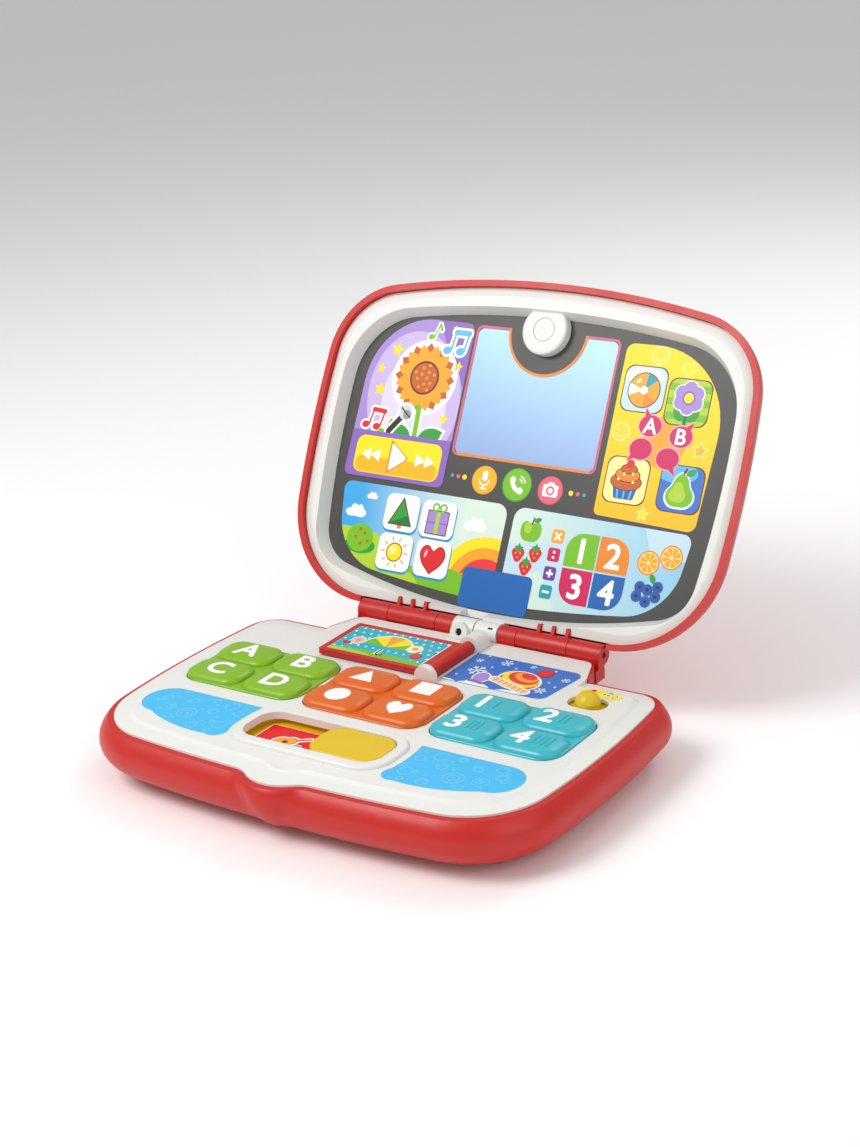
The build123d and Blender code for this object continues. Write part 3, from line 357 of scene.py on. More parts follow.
class Finishes:
    """The finishes of the toy's moulded, rubber and metal pieces."""

    # Spark-eroded mould walls give a broad, soft highlight on the deep red of both shells.
    RED = MouldedAbs("moulded_abs_red", "C61507", roughness=0.42)
    # Titanium white lets a little light in, so its edges look soft and milky.
    WHITE = MouldedAbs("moulded_abs_white", "E9E9E4", roughness=0.42, glow=0.1)
    # Polished cushions carry a clearer highlight on their rounds than the shells do.
    GREEN = MouldedAbs("moulded_abs_green", "86B80C", roughness=0.34, glow=0.05)
    ORANGE = MouldedAbs("moulded_abs_orange", "E06600", roughness=0.34, glow=0.05)
    # The paler, glossier teal looks a little translucent.
    TEAL = MouldedAbs("moulded_abs_teal", "38B9C6", roughness=0.3, glow=0.1)
    # A smooth tray that throws warm light on the picture in it.
    YELLOW = MouldedAbs("moulded_abs_yellow", "E6B800", roughness=0.34)
    # Rows of dots break the highlight into a fine glitter.
    YELLOW_DOTS = DimpledAbs("dimpled_abs_yellow", "E6C200")
    # Eroded black hardly shines.
    BLACK = MouldedAbs("moulded_abs_black", "181818", roughness=0.5)
    # Painted shade: a near-black finish that stands in for the shade inside a bore or slot.
    SHADE = MouldedAbs("bore_shadow_black", "090909", roughness=0.8)
    # Laminated card is flat in colour and shines evenly.
    CARD = PrintedFilm("laminated_card_charcoal", "474643")
    FILM = PrintedFilm("laminated_film_white", "F4F4F2")
    # A silvered back with a painted reflection in its colour: pale blue, paler higher up, and slightly hazy.
    MIRROR = AcrylicMirror("silvered_acrylic", "9CC6E2")
    # Rubber and silicone are dull, with a dusty bloom.
    RUBBER = MouldedRubber("moulded_rubber_black", "1E1E1E")
    SILICONE = MouldedRubber("moulded_silicone_white", "DCDCD6")
    # Solder mask over glass cloth is dull green.
    BOARD = MouldedRubber("solder_mask_green", "12542C")
    # Drawn, plated metal has fine streaks of gloss.
    CELL = PlatedSteel("cell_jacket_grey", "6C7076")
    STEEL = PlatedSteel("zinc_plated_steel", "C4C6C8")


class Ink(Enum):
    """The inks of the printed card and stickers."""

    WHITE = "FBFBF8"
    CHARCOAL = "474643"
    BROWN_LINE = "6A2B16"
    RED = "E31B23"
    DARK_RED = "B0121B"
    SCARLET = "F0323A"
    MAGENTA = "D4115C"
    PINK = "F0647A"
    ROSE = "D9607F"
    PALE_PINK = "F7B6C6"
    SKIN_PEACH = "F6D3A4"
    AMBER = "F9B90F"
    GOLD = "F7A81B"
    YELLOW = "FFE600"
    PALE_YELLOW = "FFF3A0"
    ORANGE = "F08A1E"
    RUST = "C9600F"
    LEAF = "7AC21A"
    LIME = "B5D532"
    GREEN = "2FA036"
    DARK_GREEN = "0D7A3B"
    SKY = "63B9EC"
    PALE_SKY = "C9E6F2"
    ICE = "DFF0F0"
    AQUA = "1FB4CC"
    TEAL = "0AA3AE"
    BLUE = "1565B5"
    WINTER = "3773C9"
    TILE_EDGE = "1C94CC"
    BUBBLE = "45BEF2"
    BUBBLE_LINE = "7AD3F7"
    LILAC = "AB8DD6"
    PALE_LILAC = "CDB8E8"
    LILAC_WHITE = "E4D9F4"
    PURPLE = "6B3FA0"
    VIOLET = "8E68BE"
    GREY = "9A9AA2"
    PALE_GREY = "D5D8DC"
    BLACK = "2A2220"
    MINT = "D9EFE2"
    BERRY = "2E57A6"

    def film(self) -> PrintedFilm:
        """The ink as a printed, laminated finish."""
        return PrintedFilm("ink_" + self.name.lower(), self.value)


class Sign(Enum):
    """The signs for sums."""

    TIMES = "times"
    DIVIDED = "divided"
    PLUS = "plus"
    MINUS = "minus"


# ---- where things are -------------------------------------------------------------
class Places:
    """Millimetre frames of the deck and of the open lid."""

    def __init__(self) -> None:
        """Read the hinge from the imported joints."""
        hinge = next(j for j in frame["joints"] if j["name"] == "lid_hinge")
        self.hinge = Vector(hinge["pos_m"])
        self.deck_origin = self.hinge - Vector((0, HINGE_BACK_MM, HINGE_UP_MM)) * MM

    def deck(self, up_mm: float = 0.0) -> Matrix:
        """Deck millimetres to metres: x right, y away, from the deck's middle."""
        lifted = self.deck_origin + Vector((0, 0, up_mm * MM))
        return Matrix.Translation(lifted) @ Matrix.Scale(MM, 4)

    def height(self, t_mm: float) -> float:
        """Height above the table, in mm, of a point on the lid."""
        return self.hinge.z / MM + t_mm * sin(radians(180 - LID_OPEN_DEG))

    def lid(self, n_mm: float = 0.0) -> Matrix:
        """Lid millimetres to metres: x right, y up the lid from the hinge axis."""
        turn = Matrix.Rotation(radians(180.0 - LID_OPEN_DEG), 4, "X")
        return Matrix.Translation(self.hinge) @ turn @ Matrix.Scale(MM, 4) @ Matrix.Translation((0, 0, n_mm))


def adopt(name: str, mesh: bpy.types.Mesh, body: str) -> bpy.types.Object:
    """Link a finished mesh as a piece that rides on a body.

    Args:
        name: The piece's name.
        mesh: Its mesh, already in place in the shared frame.
        body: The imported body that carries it.

    Returns:
        The new object.
    """
    piece = bpy.data.objects.new(name, mesh)
    bpy.context.scene.collection.objects.link(piece)
    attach(piece, body)
    log.info("%s rides on %s with %d faces", name, body, len(mesh.polygons))
    return piece


class Window:
    """A convex printed field with round corners, to draw and to clip artwork to."""

    def __init__(self, corners: Sequence[tuple[float, float, float]], segments: int = 10) -> None:
        """Round the corners of a convex outline.

        Args:
            corners: Counter-clockwise x, y and rounding of each corner.
            segments: Steps in each rounded corner.
        """
        self.mesh = bmesh.new()
        points = [self.mesh.verts.new((x, y, 0)) for x, y, _ in corners]
        self.mesh.faces.new(points)
        for point, (_, _, rounding) in zip(points, corners):
            if rounding:
                bmesh.ops.bevel(self.mesh, geom=[point], offset=rounding, offset_type="OFFSET",
                                affect="VERTICES", segments=segments, profile=0.5, material=-1)
        self.mesh.normal_update()

    def grown(self, by: float) -> bmesh.types.BMesh:
        """A copy of the field's face, grown outwards or, with a minus sign, inwards.

        Args:
            by: How far the edge moves.

        Returns:
            The new face.
        """
        copy = self.mesh.copy()
        if by > 0:
            bmesh.ops.inset_region(copy, faces=copy.faces[:], thickness=by, use_outset=True,
                                   use_even_offset=True, use_boundary=True)
            bmesh.ops.dissolve_faces(copy, faces=copy.faces[:])
        elif by < 0:
            ring = bmesh.ops.inset_region(copy, faces=copy.faces[:], thickness=-by, use_even_offset=True,
                                          use_boundary=True)
            bmesh.ops.delete(copy, geom=ring["faces"], context="FACES")
        return copy

    def clip(self, part: bmesh.types.BMesh) -> None:
        """Cut away what lies outside the field.

        Args:
            part: The shape to cut, in the sheet's plane.
        """
        for edge in self.mesh.edges:
            a, b = edge.verts[0].co, edge.verts[1].co
            loop = edge.link_loops[0]
            along = loop.link_loop_next.vert.co - loop.vert.co
            outward = Vector((along.y, -along.x, 0))
            bmesh.ops.bisect_plane(part, geom=part.verts[:] + part.edges[:] + part.faces[:],
                                   plane_co=(a + b) / 2, plane_no=outward, clear_outer=True, dist=1e-5)


class InkSheet:
    """Artwork printed on one flat sheet, in millimetres, coat over coat."""

    def __init__(self, name: str, place: Matrix, body: str, slot: str = "sticker",
                 sink_mm: float = 0.0) -> None:
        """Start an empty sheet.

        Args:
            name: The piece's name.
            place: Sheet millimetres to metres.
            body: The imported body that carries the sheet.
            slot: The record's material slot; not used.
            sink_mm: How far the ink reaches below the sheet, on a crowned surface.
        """
        self.name, self.place, self.body, self.slot = name, place, body, slot
        self.sink_mm = sink_mm
        self.mesh = bmesh.new()
        self.films: list[Finish] = []
        self.window: Window | None = None
        self.count = 0

    def add(self, part: bmesh.types.BMesh, ink: Ink | Finish, coat: int) -> None:
        """Add a flat shape as one coat of ink and free it.

        Args:
            part: Faces in the sheet's plane.
            ink: What it is printed with.
            coat: Its place in the stack, from 1.
        """
        film = ink.film() if isinstance(ink, Ink) else ink
        if film not in self.films:
            self.films.append(film)
        bmesh.ops.triangulate(part, faces=part.faces[:])
        if self.window:
            self.window.clip(part)
        self.count += 1
        lift = coat * LAYER_MM + self.count % LIFTS * LIFT_MM
        bmesh.ops.translate(part, verts=part.verts[:], vec=(0, 0, lift))
        walls = bmesh.ops.extrude_face_region(part, geom=part.faces[:])
        sunk = [v for v in walls["geom"] if isinstance(v, bmesh.types.BMVert)]
        bmesh.ops.translate(part, verts=sunk, vec=(0, 0, -coat * LAYER_MM * 0.9 - self.sink_mm))
        bmesh.ops.recalc_face_normals(part, faces=part.faces[:])
        for face in part.faces:
            face.material_index = self.films.index(film)
        scratch = bpy.data.meshes.new("scratch")
        part.to_mesh(scratch)
        part.free()
        self.mesh.from_mesh(scratch)
        bpy.data.meshes.remove(scratch)

    def finish(self) -> bpy.types.Object:
        """Turn the coats into one piece on its body.

        Returns:
            The new piece.
        """
        bmesh.ops.transform(self.mesh, matrix=self.place, verts=self.mesh.verts[:])
        done = bpy.data.meshes.new(self.name)
        self.mesh.to_mesh(done)
        self.mesh.free()
        for film in self.films:
            done.materials.append(film.material())
        return adopt(self.name, done, self.body)

    # -- shapes --
    def field(self, ink: Ink | Finish, coat: int, window: Window, grow: float = 0.0) -> None:
        """Print a whole window, grown or shrunk.

        Args:
            ink: What it is printed with.
            coat: Its place in the stack of coats, from 1.
            window: The window.
            grow: How far it grows, or shrinks with a minus sign.
        """
        keep, self.window = self.window, None
        self.add(window.grown(grow), ink, coat)
        self.window = keep

    def polygon(self, ink: Ink | Finish, coat: int, points: Sequence[Point], rounding: float = 0.0) -> None:
        """Print a polygon, its corners rounded alike.

        Args:
            ink: What it is printed with.
            coat: Its place in the stack of coats, from 1.
            points: Its corners or knots, in order.
            rounding: Radius of its corners.
        """
        part = bmesh.new()
        part.faces.new([part.verts.new((x, y, 0)) for x, y in points])
        if rounding:
            bmesh.ops.bevel(part, geom=part.verts[:], offset=rounding, offset_type="OFFSET",
                            affect="VERTICES", segments=6, profile=0.5, material=-1)
        self.add(part, ink, coat)

    def box(self, ink: Ink | Finish, coat: int, low: Point, high: Point, rounding: float = 0.0) -> None:
        """Print a rectangle between two corners."""
        self.polygon(ink, coat, [low, (high[0], low[1]), high, (low[0], high[1])], rounding)

    def disc(self, ink: Ink | Finish, coat: int, centre: Point, radius: float, tall: float | None = None,
             turn: float = 0.0) -> None:
        """Print a disc or an ellipse.

        Args:
            ink: What it is printed with.
            coat: Its place in the stack.
            centre: Its middle.
            radius: Half its width.
            tall: Half its height, where that differs.
            turn: Its turn in degrees.
        """
        part = bmesh.new()
        bmesh.ops.create_circle(part, cap_ends=True, segments=36, radius=1.0)
        matrix = Matrix.Translation((*centre, 0)) @ Matrix.Rotation(radians(turn), 4, "Z") \
            @ Matrix.Diagonal((radius, tall or radius, 1, 1))
        bmesh.ops.transform(part, matrix=matrix, verts=part.verts[:])
        self.add(part, ink, coat)

    def arc(self, ink: Ink | Finish, coat: int, centre: Point, inner: float, outer: float,
            start: float = 0.0, sweep: float = 360.0) -> None:
        """Print a ring or part of one, from a start angle through a sweep in degrees.

        Args:
            ink: What it is printed with.
            coat: Its place in the stack of coats, from 1.
            centre: Its middle.
            inner: Inner radius.
            outer: Outer radius.
            start: Angle where it starts, in degrees.
            sweep: Angle that it covers.
        """
        part = bmesh.new()
        way = Vector((cos(radians(start)), sin(radians(start)), 0))
        middle = Vector((*centre, 0))
        edge = part.edges.new([part.verts.new(middle + way * inner), part.verts.new(middle + way * outer)])
        full = abs(sweep) >= 360
        bmesh.ops.spin(part, geom=[edge, *edge.verts], cent=middle, axis=(0, 0, 1), angle=radians(sweep),
                       steps=max(6, int(abs(sweep) / 8)), use_merge=full, use_duplicate=False)
        self.add(part, ink, coat)

    def stroke(self, ink: Ink | Finish, coat: int, points: Sequence[Point], width: float) -> None:
        """Print a line of an even width with round ends and joints.

        Args:
            ink: What it is printed with.
            coat: Its place in the stack of coats, from 1.
            points: The points that the line joins.
            width: Width of the line.
        """
        for start, end in zip(points, points[1:]):
            a, b = Vector((*start, 0)), Vector((*end, 0))
            side = (b - a).normalized().cross(Vector((0, 0, 1))) * width / 2
            self.polygon(ink, coat, [tuple((a + side)[:2]), tuple((b + side)[:2]), tuple((b - side)[:2]),
                                     tuple((a - side)[:2])])
        for point in points:
            self.disc(ink, coat, point, width / 2)

    def blob(self, ink: Ink | Finish, coat: int, points: Sequence[Point], sharp: Iterable[int] = (),
             centre: Point = (0.0, 0.0), size: float = 1.0, turn: float = 0.0) -> None:
        """Print a closed smooth shape through a few points.

        Args:
            ink: What it is printed with.
            coat: Its place in the stack.
            points: The points that the outline passes.
            sharp: Which points are corners.
            centre: Where the shape's own zero goes.
            size: Its enlargement.
            turn: Its turn in degrees.
        """
        curve = bpy.data.curves.new("outline", "CURVE")
        curve.dimensions, curve.fill_mode, curve.resolution_u = "2D", "BOTH", 8
        spline = curve.splines.new("BEZIER")
        spline.bezier_points.add(len(points) - 1)
        for index, (knot, (x, y)) in enumerate(zip(spline.bezier_points, points)):
            knot.co = (x, y, 0)
            knot.handle_left_type = knot.handle_right_type = "VECTOR" if index in sharp else "AUTO"
        spline.use_cyclic_u = True
        matrix = Matrix.Translation((*centre, 0)) @ Matrix.Rotation(radians(turn), 4, "Z") \
            @ Matrix.Scale(size, 4)
        self._from_curve(curve, ink, coat, matrix)

    def text(self, ink: Ink | Finish, coat: int, words: str, centre: Point, tall: float,
             bold: float = 0.03, wide: float = 1.0) -> None:
        """Print a letter or digit, centred.

        Args:
            ink: What it is printed with.
            coat: Its place in the stack.
            words: The letter or digit.
            centre: Its middle.
            tall: Its height.
            bold: How much its strokes are thickened, as a share of its size.
            wide: Its stretch across.
        """
        curve = bpy.data.curves.new("letter", "FONT")
        curve.body, curve.size, curve.resolution_u = words, 1.0, 6
        scratch = bpy.data.objects.new("letter", curve)
        bpy.context.scene.collection.objects.link(scratch)
        bpy.context.view_layer.update()
        low, high = Vector(scratch.bound_box[0]), Vector(scratch.bound_box[6])
        bpy.data.objects.remove(scratch)
        factor = tall / (high.y - low.y)
        matrix = Matrix.Translation((*centre, 0)) @ Matrix.Diagonal((factor * wide, factor, 1, 1)) \
            @ Matrix.Translation((-(low.x + high.x) / 2, -(low.y + high.y) / 2, 0))
        thick = bold * tall
        shifts = [(thick * cos(pi * step / 4), thick * sin(pi * step / 4), 0) for step in range(BOLD_COPIES)]
        self._from_curve(curve, ink, coat, matrix, shifts)

    def _from_curve(self, curve: bpy.types.Curve, ink: Ink | Finish, coat: int, matrix: Matrix,
                    shifts: Sequence[tuple] = ((0, 0, 0),)) -> None:
        """Mesh a flat curve, put it in place and print it, once for each shift.

        Args:
            curve: The flat curve; it is freed.
            ink: What it is printed with.
            coat: Its place in the stack of coats, from 1.
            matrix: Its place on the sheet.
            shifts: Where each copy goes.
        """
        scratch = bpy.data.objects.new("outline", curve)
        bpy.context.scene.collection.objects.link(scratch)
        mesh = bpy.data.meshes.new_from_object(scratch)
        part = bmesh.new()
        part.from_mesh(mesh)
        bmesh.ops.remove_doubles(part, verts=part.verts[:], dist=1e-5)
        bmesh.ops.transform(part, matrix=matrix, verts=part.verts[:])
        bpy.data.objects.remove(scratch)
        bpy.data.meshes.remove(mesh)
        bpy.data.curves.remove(curve)
        for shift in shifts:
            copy = part.copy()
            bmesh.ops.translate(copy, verts=copy.verts[:], vec=shift)
            self.add(copy, ink, coat)
        part.free()


# ---- motifs -----------------------------------------------------------------------
HEART = ((0, -1.0), (0.86, -0.1), (0.93, 0.5), (0.5, 0.86), (0, 0.52), (-0.5, 0.86), (-0.93, 0.5),
         (-0.86, -0.1))
HEART_CORNERS = (0, 4)
CLOUD = ((-1.0, -0.35), (-1.15, 0.05), (-0.7, 0.3), (-0.35, 0.72), (0.15, 0.6), (0.45, 0.72), (0.85, 0.3),
         (1.15, 0.0), (0.95, -0.38), (0.0, -0.45))
LEAF = ((0, -1.0), (0.5, -0.3), (0.45, 0.4), (0, 1.0), (-0.45, 0.4), (-0.5, -0.3))
LEAF_TIPS = (0, 3)
APPLE = ((0, -6.4), (4.6, -5.4), (6.8, 0), (4.6, 4.9), (0, 4.0), (-4.6, 4.9), (-6.8, 0), (-4.6, -5.4))
STRAWBERRY = ((0, -5.0), (3.2, -1.8), (4.0, 1.6), (0, 3.4), (-4.0, 1.6), (-3.2, -1.8))


def star_points(centre: Point, radius: float, turn: float = 90.0, points: int = 5,
                waist: float = 0.48) -> list[Point]:
    """Corners of a star.

    Args:
        centre: Its middle.
        radius: Its radius.
        turn: Direction of the first point in degrees.
        points: Number of points.
        waist: Inner radius as a share of the outer one.

    Returns:
        The corners, tip and waist in turn.
    """
    corners = []
    for step in range(2 * points):
        angle, reach = radians(turn + 180.0 * step / points), radius * (1 if step % 2 == 0 else waist)
        corners.append((centre[0] + reach * cos(angle), centre[1] + reach * sin(angle)))
    return corners


class Motifs:
    """Small generic pictures that the printed sheets share."""

    @staticmethod
    def star(sheet: InkSheet, coat: int, centre: Point, radius: float, turn: float = 90.0) -> None:
        """A round-cornered yellow star."""
        sheet.polygon(Ink.YELLOW, coat, star_points(centre, radius, turn), radius * 0.12)

    @staticmethod
    def heart(sheet: InkSheet, ink: Ink, coat: int, centre: Point, size: float) -> None:
        """A heart."""
        sheet.blob(ink, coat, HEART, HEART_CORNERS, centre, size)

    @staticmethod
    def cloud(sheet: InkSheet, coat: int, centre: Point, size: float) -> None:
        """A white cloud."""
        sheet.blob(Ink.WHITE, coat, CLOUD, (), centre, size)

    @staticmethod
    def note(sheet: InkSheet, ink: Ink, coat: int, foot: Point, size: float, pair: bool = True,
             lean: float = -12.0) -> None:
        """A quaver, or two joined by a beam, with a white edge.

        Args:
            sheet: The sheet to print on.
            ink: The note's colour.
            coat: The white edge's place in the stack; the colour is one above.
            foot: Middle of the first note's head.
            size: Width of the pair.
            pair: Whether two notes are joined.
            lean: Lean of the stems in degrees.
        """
        turn = Matrix.Rotation(radians(lean), 3, "Z")

        def at(x: float, y: float) -> Point:
            """A point of the note, leaning and in place."""
            spot = turn @ Vector((x * size, y * size, 0))
            return (foot[0] + spot.x, foot[1] + spot.y)

        for level, colour, extra in ((coat, Ink.WHITE, 0.12 * size), (coat + 1, ink, 0.0)):
            sheet.disc(colour, level, at(0, 0), 0.24 * size + extra, 0.19 * size + extra, 20 + lean)
            sheet.stroke(colour, level, [at(0.2, 0.05), at(0.2, 1.0)], 0.11 * size + 2 * extra)
            if pair:
                sheet.disc(colour, level, at(0.72, 0.1), 0.24 * size + extra, 0.19 * size + extra, 20 + lean)
                sheet.stroke(colour, level, [at(0.92, 0.15), at(0.92, 1.1)], 0.11 * size + 2 * extra)
                sheet.stroke(colour, level, [at(0.2, 0.93), at(0.92, 1.03)], 0.26 * size + 2 * extra)
            else:
                sheet.stroke(colour, level, [at(0.2, 1.0), at(0.5, 0.72)], 0.17 * size + 2 * extra)

    @staticmethod
    def sunflower(sheet: InkSheet, coat: int, centre: Point, radius: float) -> None:
        """A sunflower with a leafy stem, its petals in two shades.

        Args:
            sheet: The sheet to print on.
            coat: The lowest of its six coats.
            centre: Its middle.
            radius: Reach of the longest petals.
        """
        x, y = centre
        sheet.stroke(Ink.WHITE, coat, [(x, y), (x + 1.5, y - radius * 2.15)], 6.2)
        sheet.stroke(Ink.LEAF, coat + 1, [(x, y), (x + 1.5, y - radius * 2.1)], 3.4)
        for side in (-1, 1):
            spot = (x + side * radius * 0.5 + 1, y - radius * 1.72)
            sheet.blob(Ink.WHITE, coat, LEAF, LEAF_TIPS, spot, radius * 0.62, side * -64)
            sheet.blob(Ink.GREEN, coat + 1, LEAF, LEAF_TIPS, spot, radius * 0.5, side * -64)
        sheet.disc(Ink.WHITE, coat, centre, radius * 1.12)
        for ring, (ink, reach, shift) in enumerate(((Ink.RUST, 1.0, 0.0), (Ink.GOLD, 0.9, 15.0))):
            for step in range(12):
                angle = shift + 30 * step
                spot = (x + 0.62 * radius * cos(radians(angle)), y + 0.62 * radius * sin(radians(angle)))
                sheet.blob(ink, coat + 1 + ring, LEAF, LEAF_TIPS, spot, radius * 0.42 * reach, angle - 90)
        sheet.disc(Ink.BROWN_LINE, coat + 3, centre, radius * 0.5)
        sheet.disc(Ink.RUST, coat + 4, centre, radius * 0.44)
        for step in range(12):
            angle, reach = 137.5 * step, radius * 0.115 * sqrt(step + 0.6)
            spot = (x + reach * cos(radians(angle)), y + reach * sin(radians(angle)))
            sheet.disc(Ink.GOLD, coat + 5, spot, radius * 0.045)

    @staticmethod
    def microphone(sheet: InkSheet, coat: int, head: Point, size: float, lean: float) -> None:
        """A stage microphone: a grey ball with a band and a dark handle.

        Args:
            sheet: The sheet to print on.
            coat: The lowest of its five coats.
            head: The ball's middle.
            size: The ball's radius.
            lean: Lean of the handle in degrees.
        """
        way = Vector((sin(radians(lean)), -cos(radians(lean))))
        neck, foot = (Vector(head) + way * size * k for k in (1.0, 3.4))
        sheet.stroke(Ink.WHITE, coat, [tuple(neck), tuple(foot)], size * 1.35)
        sheet.disc(Ink.WHITE, coat, head, size * 1.35)
        sheet.stroke(Ink.BLACK, coat + 1, [tuple(neck), tuple(foot)], size * 0.8)
        sheet.disc(Ink.PALE_GREY, coat + 2, head, size)
        sheet.disc(Ink.GREY, coat + 3, (head[0] + 0.25 * size, head[1] - 0.25 * size), size * 0.62)
        across = Vector((way.y, -way.x)) * size * 0.95
        sheet.stroke(Ink.CHARCOAL, coat + 4, [tuple(Vector(head) + across), tuple(Vector(head) - across)],
                     size * 0.22)

    @staticmethod
    def bubble(sheet: InkSheet, coat: int, centre: Point, tail: Point, letter: str = "") -> None:
        """A speech bubble in magenta with a pale edge, with or without a letter.

        Args:
            sheet: The sheet to print on.
            coat: The lowest of its three coats.
            centre: Its middle.
            tail: Where its tail points.
            letter: Its letter, if any.
        """
        for level, ink, grow in ((coat, Ink.PALE_PINK, 0.7), (coat + 1, Ink.MAGENTA, 0.0)):
            sheet.disc(ink, level, centre, 7.0 + grow, 6.0 + grow)
            side = Vector((tail[1] - centre[1], centre[0] - tail[0])).normalized() * (2.4 + grow)
            tip = Vector(tail) + (Vector(tail) - Vector(centre)).normalized() * grow
            base = Vector(centre) + (Vector(tail) - Vector(centre)) * 0.35
            sheet.polygon(ink, level, [tuple(base - side), tuple(base + side), tuple(tip)])
        if letter:
            sheet.text(Ink.WHITE, coat + 2, letter, centre, 8.4, bold=0.035)

    @staticmethod
    def snowflake(sheet: InkSheet, coat: int, centre: Point, radius: float) -> None:
        """A six-armed snowflake.

        Args:
            sheet: The sheet to print on.
            coat: Its place in the stack of coats, from 1.
            centre: Its middle.
            radius: Length of an arm.
        """
        for step in range(6):
            way = Vector((cos(radians(60 * step + 12)), sin(radians(60 * step + 12))))
            tip = Vector(centre) + way * radius
            sheet.stroke(Ink.WHITE, coat, [centre, tuple(tip)], radius * 0.15)
            for side in (-1, 1):
                twig = Matrix.Rotation(radians(side * 50), 2) @ way
                root = Vector(centre) + way * radius * 0.58
                tip = root + twig * radius * 0.32
                sheet.stroke(Ink.WHITE, coat, [tuple(root), tuple(tip)], radius * 0.12)


# ---- lid card ---------------------------------------------------------------------
@dataclass
class LidCard:
    """The printed card of the lid: five fields, an icon row and the mirror's border."""

    places: Places
    stage_field: Window = field(default_factory=lambda: Window(
        [(-121.5, 77.5, 4), (-50, 77.5, 4), (-50, 176.5, 5), (-119.5, 176.5, 41)], 14))
    friends_field: Window = field(default_factory=lambda: Window(
        [(52.5, 76.5, 3), (116.5, 74.5, 5), (121.5, 176, 50), (52.5, 174.8, 5)], 14))
    sky_field: Window = field(default_factory=lambda: Window(
        [(-54, 19, 30), (-2.5, 16.6, 1), (-2.5, 74, 7), (-119.3, 74, 6), (-112.7, 26.8, 26)], 14))
    sums_field: Window = field(default_factory=lambda: Window(
        [(2.5, 16.6, 1), (54, 19, 30), (110.7, 26.8, 26), (116.8, 73, 6), (2.5, 74, 7)], 14))

    def build(self) -> bpy.types.Object:
        """Print every field and hand the card over.

        Returns:
            The finished piece.
        """
        self.sheet = InkSheet("lid_print", self.places.lid(CARD_N_MM), "lid", "printed_card")
        self.stage()
        self.friends()
        self.sky()
        self.sums()
        self.icons()
        self.mirror_border()
        return self.sheet.finish()

    def stage(self) -> None:
        """The lilac field: a sunflower with a microphone, notes, stars and a player bar."""
        sheet, area = self.sheet, self.stage_field
        sheet.field(Ink.PURPLE, 1, area, 1.2)
        sheet.field(Ink.LILAC, 2, area)
        sheet.window = area
        sheet.polygon(Ink.VIOLET, 3, [(-50, 178), (-76, 178), (-60, 150), (-50, 138)], 1.0)
        sheet.polygon(Ink.VIOLET, 3, [(-125, 110), (-113, 96), (-112, 78), (-125, 78)], 1.0)
        sheet.disc(Ink.PALE_LILAC, 4, (-83, 128), 33, 41, 12)
        sheet.disc(Ink.LILAC_WHITE, 5, (-82, 124), 23, 31, 12)
        Motifs.sunflower(sheet, 6, (-78, 141), 20.5)
        Motifs.microphone(sheet, 12, (-86, 119), 4.6, -38)
        Motifs.note(sheet, Ink.RED, 6, (-113, 109), 11)
        Motifs.note(sheet, Ink.LEAF, 6, (-101, 106), 9.5, pair=False, lean=-25)
        Motifs.note(sheet, Ink.LEAF, 6, (-79, 166), 9.0, pair=False, lean=-20)
        Motifs.note(sheet, Ink.SKY, 12, (-66, 159), 12.5, lean=-8)
        for spot, size in (((-101, 156), 4.6), ((-110, 144), 3.2), ((-108, 131), 4.4), ((-56, 150), 3.2),
                           ((-59, 118), 3.4), ((-63, 172), 2.4)):
            Motifs.star(sheet, 6, spot, size, 80)
        sheet.box(Ink.VIOLET, 16, (-126, 76), (-49, 105.5))
        sheet.window = None
        self.player()

    def player(self) -> None:
        """The yellow player bar with its three white keys."""
        sheet = self.sheet
        sheet.box(Ink.YELLOW, 20, (-116, 80), (-54.5, 102.5), 5.5)
        sheet.box(Ink.AMBER, 21, (-114.5, 80.6), (-56, 90), 4)
        sheet.polygon(Ink.ORANGE, 22, [(-91.5, 80.9), (-91.5, 102), (-77, 91.4)], 1.8)
        sheet.polygon(Ink.WHITE, 23, [(-90.3, 82.6), (-90.3, 100.4), (-78.2, 91.4)], 1.8)
        for side, mid in ((-1, -104.5), (1, -65.5)):
            for shift in (-3.4, 3.4):
                x = mid + shift
                tip, back = x + side * 3.4, x - side * 3.2
                sheet.polygon(Ink.WHITE, 23, [(back, 87.6), (back, 95.2), (tip, 91.4)], 0.7)

    def friends(self) -> None:
        """The yellow field: four framed tiles, speech bubbles and faint line icons."""
        sheet, area = self.sheet, self.friends_field
        low, high = (self.places.height(t) for t in (75, 176))
        fade = PrintedFilm("ink_yellow_to_amber", "FFC408", fade_to="FFDD00", fade_mm=(low, high - 30))
        sheet.field(Ink.ORANGE, 1, area, 0.5)
        sheet.field(fade, 2, area)
        sheet.window = area
        sheet.disc(Ink.GOLD, 3, (88, 122), 13, 15)
        self.faint_icons()
        tiles = ((55.5, 137, Ink.PALE_SKY, self.ball), (84, 132.5, Ink.LIME, self.tulip),
                 (56, 85, Ink.PALE_YELLOW, self.cupcake), (90, 84.5, Ink.WINTER, self.pear))
        for x, y, ground, motif in tiles:
            sheet.window = None
            sheet.field(Ink.BROWN_LINE, 5, self.tile(x - 0.6, y - 0.6, 27.2, 26.7))
            sheet.field(ground, 6, self.tile(x, y, 26, 25.5))
            sheet.window = self.tile(x, y, 26, 25.5)
            motif((x + 13, y + 12.7))
        sheet.window = None
        Motifs.bubble(sheet, 14, (77, 129.8), (72.4, 139.5), "A")
        Motifs.bubble(sheet, 14, (97, 125.8), (103.5, 134.5), "B")
        Motifs.bubble(sheet, 14, (74, 116.3), (66.5, 108.8))
        Motifs.bubble(sheet, 14, (91.5, 112.8), (97.5, 103.5))

    @staticmethod
    def tile(x: float, y: float, wide: float, tall: float) -> Window:
        """A tile's outline from its lower left corner."""
        return Window([(x, y, 5.5), (x + wide, y, 5.5), (x + wide, y + tall, 5.5), (x, y + tall, 5.5)], 8)

